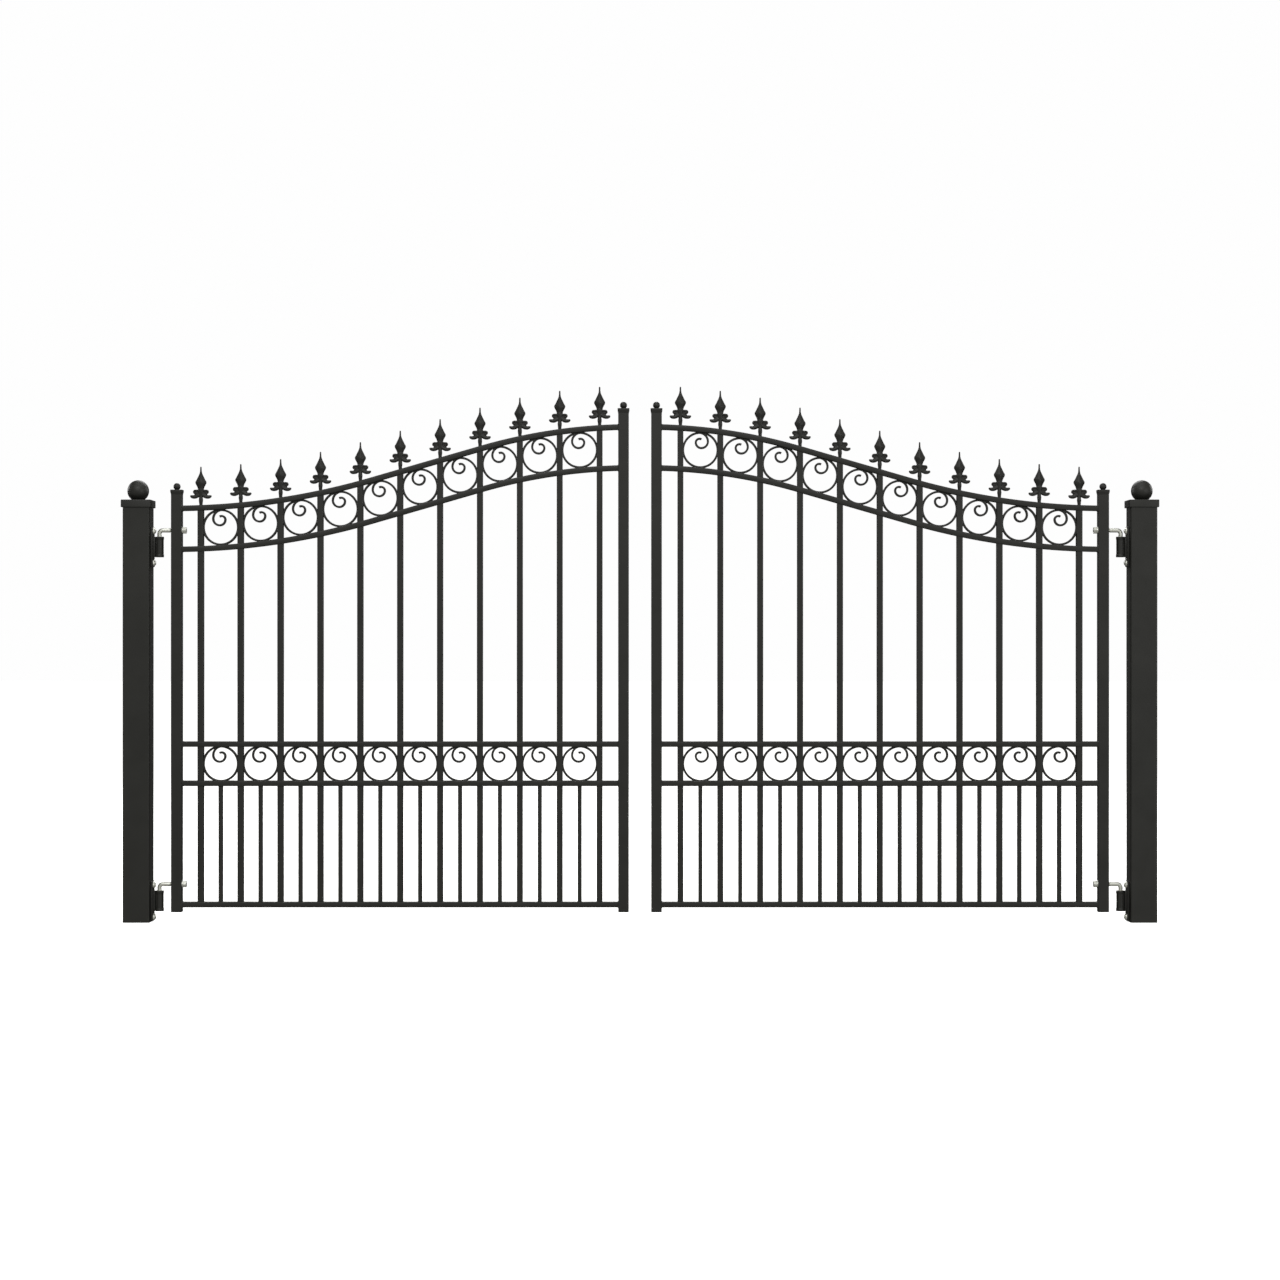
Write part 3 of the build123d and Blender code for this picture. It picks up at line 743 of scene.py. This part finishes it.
def dome_bolt(side):
    """Button head with a hexagon socket, on a shank that points into the post."""
    head, crown, socket, shank, length, count = 13 * MM, 10 * MM, 8 * MM, 6 * MM, 34 * MM, 48
    radius = (head ** 2 + crown ** 2) / (2 * crown)
    dome = [(r, -h) for r, h in arc(0, crown - radius, radius, degrees(acos(head / radius)), 76, 12)]
    profile = [(shank, length), (shank, 0), (head - 0.4 * MM, 0), *dome]
    sections = [([0], length), *(([r] * count, h) for r, h in profile)]
    for depth in (0.5 * MM, 5 * MM):
        sections.append(([hexagon_reach(socket, t) for t in turned(count)], depth - crown))
    shell = bmesh.new()
    skin(shell, [across_ring(side, 0, 0, reach, h) for reach, h in sections])
    return to_mesh(shell, "dome_bolt")


class GATE_OT_rails(bpy.types.Operator):
    """Bend the two arched rails and cut the three straight ones"""

    bl_idname = "gate.rails"
    bl_label = "Rails"

    def execute(self, context):
        sizes = context.scene.gate_sizes
        steps = 72
        first, last = INNER_FACE - OVERLAP, OUTER_FACE + OVERLAP
        stations = [first + (last - first) * k / steps for k in range(steps + 1)]
        for leaf, side in LEAVES:
            runs = {
                "top_rail": [(side * x, 0, arch_height(x, RAIL_HEIGHT / 2)) for x in stations],
                "arch_rail": [(side * x, 0, arch_height(x, RAIL_HEIGHT / 2) - ARCH_DROP) for x in stations],
            }
            for name, bottom in RAIL_BOTTOMS.items():
                runs[name] = [(side * x, 0, bottom + RAIL_HEIGHT / 2) for x in (first, last)]
            for name, run in runs.items():
                bars(
                    f"{leaf}_{name}_tube", [run], RAIL_HEIGHT, RAIL_DEPTH, sizes.rail_corner, leaf,
                    f"{leaf}_{name}",
                )
        return {"FINISHED"}


class GATE_OT_pickets(bpy.types.Operator):
    """Stand the pickets in the rails, with the thin ones between them below"""

    bl_idname = "gate.pickets"
    bl_label = "Pickets"

    def execute(self, context):
        sizes = context.scene.gate_sizes
        inside = 3 * MM
        foot = RAIL_BOTTOMS["bottom_rail"] + inside
        low_top = RAIL_BOTTOMS["lower_mid_rail"] + RAIL_HEIGHT - inside
        for leaf, side in LEAVES:
            rows = {
                "pickets": ([(x, arch_height(x) - 2 * inside) for x in PICKETS], sizes.picket_corner),
                "thin_pickets": ([(x, low_top) for x in BAYS], sizes.thin_picket_corner),
            }
            for name, (tops, corner) in rows.items():
                bars(
                    f"{leaf}_{name}_tube", [[(side * x, 0, foot), (side * x, 0, top)] for x, top in tops],
                    BAR_WIDTHS[f"right_leaf_{name}"], 2 * extent(f"{leaf}_{name}", Y)[1], corner, leaf,
                    f"{leaf}_{name}",
                )
        return {"FINISHED"}


# The curl inside each ring: centre across and up from the middle of the ring, and bend radius, all in
# millimetres, then the angles between which it runs.
SCROLL_CURLS = [
    (-4.5, 32, 33, 90, 0), (3.9, 32, 24.6, 0, -90), (3.9, 28.4, 21, -90, -180), (-3.1, 28.4, 14, 180, 58),
]


def scroll_path(side, radius):
    """Middle line of one scroll: round the ring from its tail, then in and down to the curled end."""
    points = arc(0, 0, radius, 79, -266, 92)
    for across, up, bend, start, end in SCROLL_CURLS:
        points += arc(across * MM, up * MM, bend * MM, start, end, 14)[1:]
    return [(side * a, 0, b) for a, b in points]


class GATE_OT_scrolls(bpy.types.Operator):
    """Bend one scroll for each side and set copies of it into the bays"""

    bl_idname = "gate.scrolls"
    bl_label = "Scroll rings"

    def execute(self, context):
        sizes = context.scene.gate_sizes
        for leaf, side in LEAVES:
            path = wire([scroll_path(side, sizes.scroll_radius)])
            bar = grown(
                "bar_along_its_run", path, STEEL,
                Across=sizes.scroll_bar, Depth=sizes.scroll_depth, Corner=sizes.scroll_corner,
            )
            seats = {
                "mid_scrolls": [(side * x, 0, SCROLL_ROW) for x in BAYS],
                "arch_scrolls": [(side * x, 0, sum(arched_row(x)) / 2) for x in BAYS],
            }
            for name, points in seats.items():
                finished(
                    f"{leaf}_{name}_bent", copies(bar.copy(), points, STEEL),
                    STEEL, leaf, f"{leaf}_{name}",
                )
        return {"FINISHED"}


# Spear head, in millimetres from its axis and above the rail: (half-width, height) of the turned and
# flat parts, and (distance out, height, radius) along the leaves on each side.
FINIAL_STEM = [
    (6.3, -4), (6.3, 0), (6.8, 8), (8.0, 16), (8.2, 19.5), (7.9, 23), (7.0, 28), (6.4, 32.5), (6.4, 46),
]
FINIAL_COLLAR = [(7.0, 31), (8.6, 37), (10.0, 46), (11.2, 54), (11.4, 60), (10.4, 63)]
FINIAL_BLADE = [
    (10.4, 54), (10.9, 59), (12.2, 64), (13.9, 69), (17.4, 75.6), (20.0, 80.5), (20.9, 84.5), (20.8, 87.5),
    (19.2, 91), (17.5, 93.5), (14.4, 99.5), (11.3, 106), (8.1, 112.5), (5.4, 119), (3.8, 125), (3.1, 131),
    (2.9, 138), (2.4, 143.8), (1.4, 144.8),
]
FINIAL_HOOK = [
    (2, 43, 6), (8, 38.5, 7.4), (14.5, 34.3, 7.4), (21, 31.8, 7.3), (28, 31.2, 6.9), (33, 32.1, 6.1),
    (36.4, 33.9, 4.9), (38.2, 35.2, 3.7), (39.4, 36.2, 1.9),
]
FINIAL_WEB = [(0, 49, 8), (8, 48.5, 8), (15, 48, 8), (22, 48, 7)]
FINIAL_FILL = [(2, 43, 6), (10, 42, 6), (18, 40.5, 5), (23, 39.5, 3.5)]
FINIAL_TOP = [(3, 54.6, 4.2), (9, 54.9, 4.1), (15, 54.9, 4.0), (21.8, 54.7, 4.0)]


def eased(stations, steps=3):
    """The stations filled in along the smooth curve that passes through every one of them."""
    through = [Vector(station) for station in stations]
    through = [through[0], *through, through[-1]]
    filled = []
    for a, b, c, d in zip(through, through[1:], through[2:], through[3:]):
        for t in (k / steps for k in range(steps)):
            bend, twist = 2 * a - 5 * b + 4 * c - d, 3 * b - a - 3 * c + d
            filled.append(b + 0.5 * t * ((c - a) + t * (bend + t * twist)))
    return filled + [through[-1]]


def leaf_path(side, stations):
    """Points and radii along one leaf of the spear head, in metres."""
    filled = eased(stations)
    return [Vector((side * a * MM, 0, b * MM)) for a, b, r in filled], [r * MM for a, b, r in filled]


def blade_section(half_width, height):
    """Diamond section through the blade at one height, its four ridges rounded over."""
    cut, kept = 0.04, 0.968
    wide = half_width / kept
    corners = [Vector((wide, 0)), Vector((0, 0.5 * wide)), Vector((-wide, 0)), Vector((0, -0.5 * wide))]
    ring = []
    for k, corner in enumerate(corners):
        ring += [corner.lerp(corners[k - 1], cut), corner * kept, corner.lerp(corners[k - 3], cut)]
    return [(a * MM, b * MM, height * MM) for a, b in ring]


def spear_head(voxel):
    """Cast spear head: stem, collar, hooked leaves and curled lobes in one, with the blade on top."""
    shell = bmesh.new()
    for outline, depth_ratio in ((FINIAL_STEM, 1.0), (FINIAL_COLLAR, 0.75)):
        closed = [(0, outline[0][1]), *outline, (0, outline[-1][1])]
        place = Matrix.Diagonal((1, depth_ratio, 1, 1))
        lathe(shell, [(r * MM, z * MM) for r, z in closed], place, 32)
    for side in (-1, 1):
        tube(shell, *leaf_path(side, FINIAL_HOOK), flat=0.78)
        tube(shell, *leaf_path(side, FINIAL_WEB), flat=0.42)
        tube(shell, *leaf_path(side, FINIAL_FILL), flat=0.6)
        points, radii = leaf_path(side, FINIAL_TOP)
        curl_out, curl_up, steps = 21.8 * MM, 49.4 * MM, 30
        for k in range(1, steps + 1):
            angle = radians(90 - 400 * k / steps)
            reach = (5.3 - 2.4 * k / steps) * MM
            points.append(Vector((side * (curl_out + reach * cos(angle)), 0, curl_up + reach * sin(angle))))
            radii.append((4.0 - 1.7 * k / steps) * MM)
        tube(shell, points, radii, flat=1.5)
    rough = master_object(to_mesh(shell, "spear_head"), "spear_head")
    blend = rough.modifiers.new("Blend", "REMESH")
    blend.mode = "VOXEL"
    blend.voxel_size = voxel
    soften = rough.modifiers.new("Soften", "SMOOTH")
    soften.factor = 0.5
    soften.iterations = 3
    thin = rough.modifiers.new("Thin", "DECIMATE")
    thin.ratio = 0.16
    bpy.context.view_layer.update()
    mesh = bpy.data.meshes.new_from_object(rough.evaluated_get(bpy.context.evaluated_depsgraph_get()))
    bpy.data.objects.remove(rough)
    casting = bmesh.new()
    casting.from_mesh(mesh)
    bpy.data.meshes.remove(mesh)
    skin(casting, [blade_section(half_width, height) for half_width, height in eased(FINIAL_BLADE)])
    return to_mesh(casting, "spear_head_casting")


class GATE_OT_finials(bpy.types.Operator):
    """Cast one spear head and set a copy over every picket"""

    bl_idname = "gate.finials"
    bl_label = "Spear heads"

    def execute(self, context):
        casting = spear_head(context.scene.gate_sizes.finial_voxel)
        for leaf, side in LEAVES:
            seats = [(side * x, 0, arch_height(x)) for x in PICKETS]
            finished(
                f"{leaf}_finials_cast", copies(casting.copy(), seats, CASTING),
                CASTING, leaf, f"{leaf}_finials", crease=55,
            )
        return {"FINISHED"}


class GATE_OT_stile_caps(bpy.types.Operator):
    """Cap each stile and set a small ball on it"""

    bl_idname = "gate.stile_caps"
    bl_label = "Stile caps and balls"

    def execute(self, context):
        for leaf, side in LEAVES:
            half = 22.3 * MM
            caps = bmesh.new()
            balls = bmesh.new()
            for x, top in STILES:
                place = upright(side, x, top)
                profile = [(STILE_SIZE / 2 + 0.1 * MM, -18 * MM), (half - 0.3 * MM, -9 * MM)]
                profile += [(half, -7 * MM), *arc(half - 1.5 * MM, -1.5 * MM, 1.5 * MM, 0, 90, 4)]
                skin(caps, [square_ring(h, 3 * MM, z, place) for h, z in profile])
                profile = ball_profile(13.5 * MM, 25.5 * MM, 0, (1.6 * MM, 1 * MM, 0.6 * MM), 10, 16)
                lathe(balls, profile, place, 40)
            for name, shell in (("caps", caps), ("balls", balls)):
                finished(
                    f"{leaf}_stile_{name}_cast", to_mesh(shell, name), CASTING, leaf,
                    f"{leaf}_stile_{name}",
                )
        return {"FINISHED"}


def rod_rings(side, rod_z, pitch):
    """Rings of points along a hinge rod: a threaded leg, a bend and a smooth pin."""
    foot = extent("right_leaf_upper_j_bolt", Z)[0] - ROD_HEIGHTS[0]
    leg = HINGE_X - ROD_BEND - ROD_END
    stile_side = OUTER_FACE + STILE_SIZE - ROD_END
    thread_end = stile_side + 7 * MM
    # Close stations draw the thread where it shows, at the end of the rod and beside the stile.
    step, end_steps, run_out_steps = 0.4 * MM, 60, 24
    stations = [k * step for k in range(end_steps)]
    stations += [stile_side - 2 * MM + k * step for k in range(run_out_steps)] + [leg]
    turns = turned(36)
    rings = []

    def ring(point, along, radius_at):
        across = Vector((0, 1, 0))
        up = along.cross(across)
        return [point + (across * cos(t) + up * sin(t)) * radius_at(t) for t in turns]

    for s in stations:
        taper = min(max((thread_end - s) / (4 * MM), 0), 1)
        lead = min(s + ROD_RADIUS - 1.6 * MM, ROD_RADIUS)

        def radius_at(t):
            phase = (s / pitch + side * t / (2 * pi)) % 1
            cut = taper * 1.1 * MM * (1 - abs(2 * phase - 1))
            return min(ROD_RADIUS - cut, lead)

        rings.append(ring(Vector((side * (ROD_END + s), 0, rod_z)), Vector((side, 0, 0)), radius_at))
    for a, b in arc(HINGE_X - ROD_BEND, rod_z - ROD_BEND, ROD_BEND, 90, 0, 16)[1:]:
        tilt = Vector((side * (b - rod_z + ROD_BEND), 0, -(a - HINGE_X + ROD_BEND))).normalized()
        rings.append(ring(Vector((side * a, 0, b)), tilt, lambda t: ROD_RADIUS))
    down = Vector((0, 0, -1))
    for z, radius in ((foot + 1.5 * MM, ROD_RADIUS), (foot, ROD_RADIUS - 1.5 * MM)):
        rings.append(ring(Vector((side * HINGE_X, 0, rod_z + z)), down, lambda t: radius))
    return rings


def lock_nut(shell, side, rod_z):
    """Hexagon nut with its corners coned off at both ends and its bore chamfered."""
    count, sunk, inside = 72, 0.9 * MM, ROD_RADIUS - 1 * MM
    mouth = [(inside, sunk), (ROD_RADIUS + 0.3 * MM, sunk), (ROD_RADIUS + 1.2 * MM, 0)]
    sections = [([r] * count, h) for r, h in mouth]
    cone_steps = [h * MM for h in (0, 0.3, 0.6, 1.0, 1.4, 2.0)]
    for h in cone_steps + [NUT_HEIGHT - h for h in reversed(cone_steps)]:
        cone = NUT_ACROSS_FLATS / 2 - 0.3 * MM + min(h, NUT_HEIGHT - h) / tan(radians(30))
        sections.append(([min(hexagon_reach(NUT_ACROSS_FLATS, t), cone) for t in turned(count)], h))
    sections.append(([inside] * count, NUT_HEIGHT))
    foot = OUTER_FACE - WASHER_THICKNESS - NUT_HEIGHT
    skin(shell, [across_ring(side, foot, rod_z, reach, h) for reach, h in sections])


def washer_profile():
    """Closed outline of a flat washer whose edges are broken on the side away from the stile."""
    rim, hole, broken = 13.3 * MM, ROD_RADIUS + 0.3 * MM, 0.3 * MM
    outline = [(hole, broken), (hole + broken, 0), (rim - 0.7 * MM, 0), (rim - 0.2 * MM, 0.2 * MM)]
    return outline + [(rim, 0.7 * MM), (rim, WASHER_THICKNESS), (hole, WASHER_THICKNESS)]


class GATE_OT_hinge_bolts(bpy.types.Operator):
    """Thread the bent hinge rods through the stiles and lock them with nuts"""

    bl_idname = "gate.hinge_bolts"
    bl_label = "Hinge rods, nuts and washers"

    def execute(self, context):
        sizes = context.scene.gate_sizes
        for leaf, side in LEAVES:
            nuts = bmesh.new()
            washers = bmesh.new()
            for name, rod_z in zip(("upper", "lower"), ROD_HEIGHTS):
                rod = bmesh.new()
                skin(rod, rod_rings(side, rod_z, sizes.thread_pitch))
                finished(
                    f"{leaf}_{name}_j_bolt_plated", to_mesh(rod, "rod"), ZINC, leaf,
                    f"{leaf}_{name}_j_bolt",
                )
                lock_nut(nuts, side, rod_z)
                place = across_the_gate(side, OUTER_FACE - WASHER_THICKNESS, rod_z)
                lathe(washers, washer_profile(), place, 48, loop=True)
            for name, shell, crease in (("lock_nuts", nuts, 28), ("washers", washers, 40)):
                finished(
                    f"{leaf}_{name}_plated", to_mesh(shell, name), ZINC, leaf,
                    f"{leaf}_rod_{name}", crease=crease,
                )
        return {"FINISHED"}


def tack(radius):
    """Round tack weld, a blob that stands half out of the steel."""
    shell = bmesh.new()
    lathe(shell, [(0, -radius), *arc(0, 0, radius, -90, 90, 6)[1:-1], (0, radius)], Matrix(), 10)
    return to_mesh(shell, "tack")


def around_rail(side, x, z):
    """Loop around a rail where it meets a stile."""
    half_depth, half_height = RAIL_DEPTH / 2, RAIL_HEIGHT / 2
    corners = ((-1, -1), (1, -1), (1, 1), (-1, 1))
    return [(side * x, a * half_depth, z + b * half_height) for a, b in corners]


class GATE_OT_welds(bpy.types.Operator):
    """Run weld beads round the rail ends and along the barrels, and tack the scrolls"""

    bl_idname = "gate.welds"
    bl_label = "Welds"

    def execute(self, context):
        bead = {"Radius": context.scene.gate_sizes.bead_radius, "Ripple": 2.6 * MM, "Depth": 0.07}
        middles = [bottom + RAIL_HEIGHT / 2 for bottom in RAIL_BOTTOMS.values()]
        half_bay = (PICKETS[1] - PICKETS[0] - BAR_WIDTHS["right_leaf_pickets"]) / 2
        for side_name, side in SIDES:
            leaf = f"{side_name}_leaf"
            loops = []
            for x in (INNER_FACE, OUTER_FACE):
                arched = [arch_height(x, RAIL_HEIGHT / 2) - drop for drop in (0, ARCH_DROP)]
                loops += [around_rail(side, x, z) for z in middles + arched]
            mesh = grown("weld_bead", wire(loops, closed=True), STEEL, **bead)
            finished(f"{leaf}_rail_welds", mesh, STEEL, leaf, crease=70)

            seats = []
            for x in BAYS:
                low, high = arched_row(x)
                for centre, rise in ((SCROLL_ROW, half_bay), ((low + high) / 2, (high - low) / 2)):
                    for y in (-6 * MM, 6 * MM):
                        seats += [(side * (x + a * half_bay), y, centre) for a in (-1, 1)]
                        seats += [(side * x, y, centre - rise)]
            mesh = copies(tack(2.6 * MM), seats, STEEL)
            finished(f"{leaf}_scroll_tacks", mesh, STEEL, leaf, crease=70)

            runs = []
            for top in BARREL_TOPS:
                ends = (top - BARREL_LENGTH + 3 * MM, top - 3 * MM)
                for y in (-SADDLE_HALF_DEPTH, SADDLE_HALF_DEPTH):
                    for x in (HINGE_X + 10.6 * MM, POST_FACE - PLATE_THICKNESS):
                        runs.append([(side * x, y, z) for z in ends])
            mesh = grown("weld_bead", wire(runs), STEEL, **bead)
            finished(f"{side_name}_barrel_welds", mesh, STEEL, "posts", crease=70)
        return {"FINISHED"}


# Each light: name, place, the point it aims at, width and height in metres, and power in watts.
SOFTBOXES = (
    ("front_softbox", (-1.2, -10.0, 7.5), (0, 0, 0.7), 6.0, 4.0, 420),
    ("right_softbox", (8.0, -8.0, 2.2), (0.5, 0, 0.7), 3.0, 3.0, 170),
    ("top_softbox", (0.0, -0.6, 6.0), (0, 0, 0.8), 6.0, 2.4, 60),
    ("back_left_softbox", (-8.5, 5.5, 3.6), (0, 0, 0.9), 4.0, 3.0, 240),
    ("back_right_softbox", (8.5, 5.5, 3.6), (0, 0, 0.9), 4.0, 3.0, 240),
    ("back_high_softbox", (0.0, 6.5, 7.0), (0, 0, 0.8), 6.0, 3.0, 340),
)


class GATE_OT_studio(bpy.types.Operator):
    """Stand the gate on a pale floor under soft light and set the camera"""

    bl_idname = "gate.studio"
    bl_label = "Studio"

    def execute(self, context):
        scene = context.scene
        shell = bmesh.new()
        bmesh.ops.create_grid(shell, x_segments=1, y_segments=1, size=60)
        floor = master_object(to_mesh(shell, "studio_floor"), "studio_floor")
        floor.data.materials.append(bpy.data.materials["painted_studio_floor"])
        floor.visible_glossy = False
        floor.visible_diffuse = False

        camera = bpy.data.cameras.new("front_camera")
        camera.lens = 77.3
        camera.sensor_width = 36
        camera.clip_end = 200
        eye = bpy.data.objects.new("front_camera", camera)
        eye.location = (0, -10.341, 1.059)
        eye.rotation_euler = (pi / 2, 0, 0)
        scene.collection.objects.link(eye)
        scene.camera = eye

        for name, place, aim, width, height, power in SOFTBOXES:
            light = bpy.data.lights.new(name, "AREA")
            light.shape = "RECTANGLE"
            light.size = width
            light.size_y = height
            light.energy = power
            lamp = bpy.data.objects.new(name, light)
            lamp.location = place
            lamp.rotation_euler = (Vector(aim) - Vector(place)).to_track_quat("-Z", "Y").to_euler()
            scene.collection.objects.link(lamp)

        world = bpy.data.worlds.new("white_studio")
        world.use_nodes = True
        world.node_tree.nodes.clear()
        tree = world.node_tree
        seen = add_node(tree, "ShaderNodeLightPath").outputs["Is Camera Ray"]
        sky = add_node(tree, "ShaderNodeTexCoord").outputs["Generated"]
        toward = add_node(tree, "ShaderNodeSeparateXYZ", {"Vector": sky}).outputs
        front = add_node(
            tree, "ShaderNodeMapRange",
            {"Value": toward["Y"], "From Min": -0.35, "From Max": 0.35, "To Min": 0.43, "To Max": 0.06},
        )
        above = add_node(
            tree, "ShaderNodeMapRange",
            {"Value": toward["Z"], "From Min": 0.2, "From Max": 1.0, "To Min": 0.0, "To Max": 0.25},
        )
        strength = add_node(tree, "ShaderNodeMath", {0: front, 1: above}, operation="ADD")
        lit = add_node(tree, "ShaderNodeBackground", {"Color": linear("fbfbf4"), "Strength": strength})
        shown = add_node(tree, "ShaderNodeBackground", {"Color": linear("fefefe"), "Strength": 1.0})
        mixed = add_node(tree, "ShaderNodeMixShader", {0: seen, 1: lit, 2: shown})
        add_node(tree, "ShaderNodeOutputWorld", {"Surface": mixed})
        scene.world = world
        scene.view_settings.view_transform = "Standard"
        return {"FINISHED"}


STEPS = (
    GATE_OT_finishes, GATE_OT_post_caps, GATE_OT_hinge_sets, GATE_OT_rails, GATE_OT_pickets,
    GATE_OT_scrolls, GATE_OT_finials, GATE_OT_stile_caps, GATE_OT_hinge_bolts, GATE_OT_welds,
    GATE_OT_studio,
)


class GATE_PT_sidebar(bpy.types.Panel):
    """Sizes, colours and building steps of the gate"""

    bl_idname = "GATE_PT_sidebar"
    bl_label = "Gate"
    bl_space_type = "VIEW_3D"
    bl_region_type = "UI"
    bl_category = "Gate"

    def draw(self, context):
        for group in (context.scene.gate_sizes, context.scene.gate_colours):
            column = self.layout.column()
            for name in group.__annotations__:
                column.prop(group, name)
        for step in STEPS:
            self.layout.operator(step.bl_idname)


CLASSES = (GateSizes, GateColours, *STEPS, GATE_PT_sidebar)


def register():
    for cls in CLASSES:
        bpy.utils.register_class(cls)
    bpy.types.Scene.gate_sizes = bpy.props.PointerProperty(type=GateSizes)
    bpy.types.Scene.gate_colours = bpy.props.PointerProperty(type=GateColours)


def unregister():
    del bpy.types.Scene.gate_colours
    del bpy.types.Scene.gate_sizes
    for cls in reversed(CLASSES):
        bpy.utils.unregister_class(cls)


def main():
    register()
    for step in STEPS:
        family, name = step.bl_idname.split(".")
        getattr(getattr(bpy.ops, family), name)()


if __name__ == "__main__":
    main()
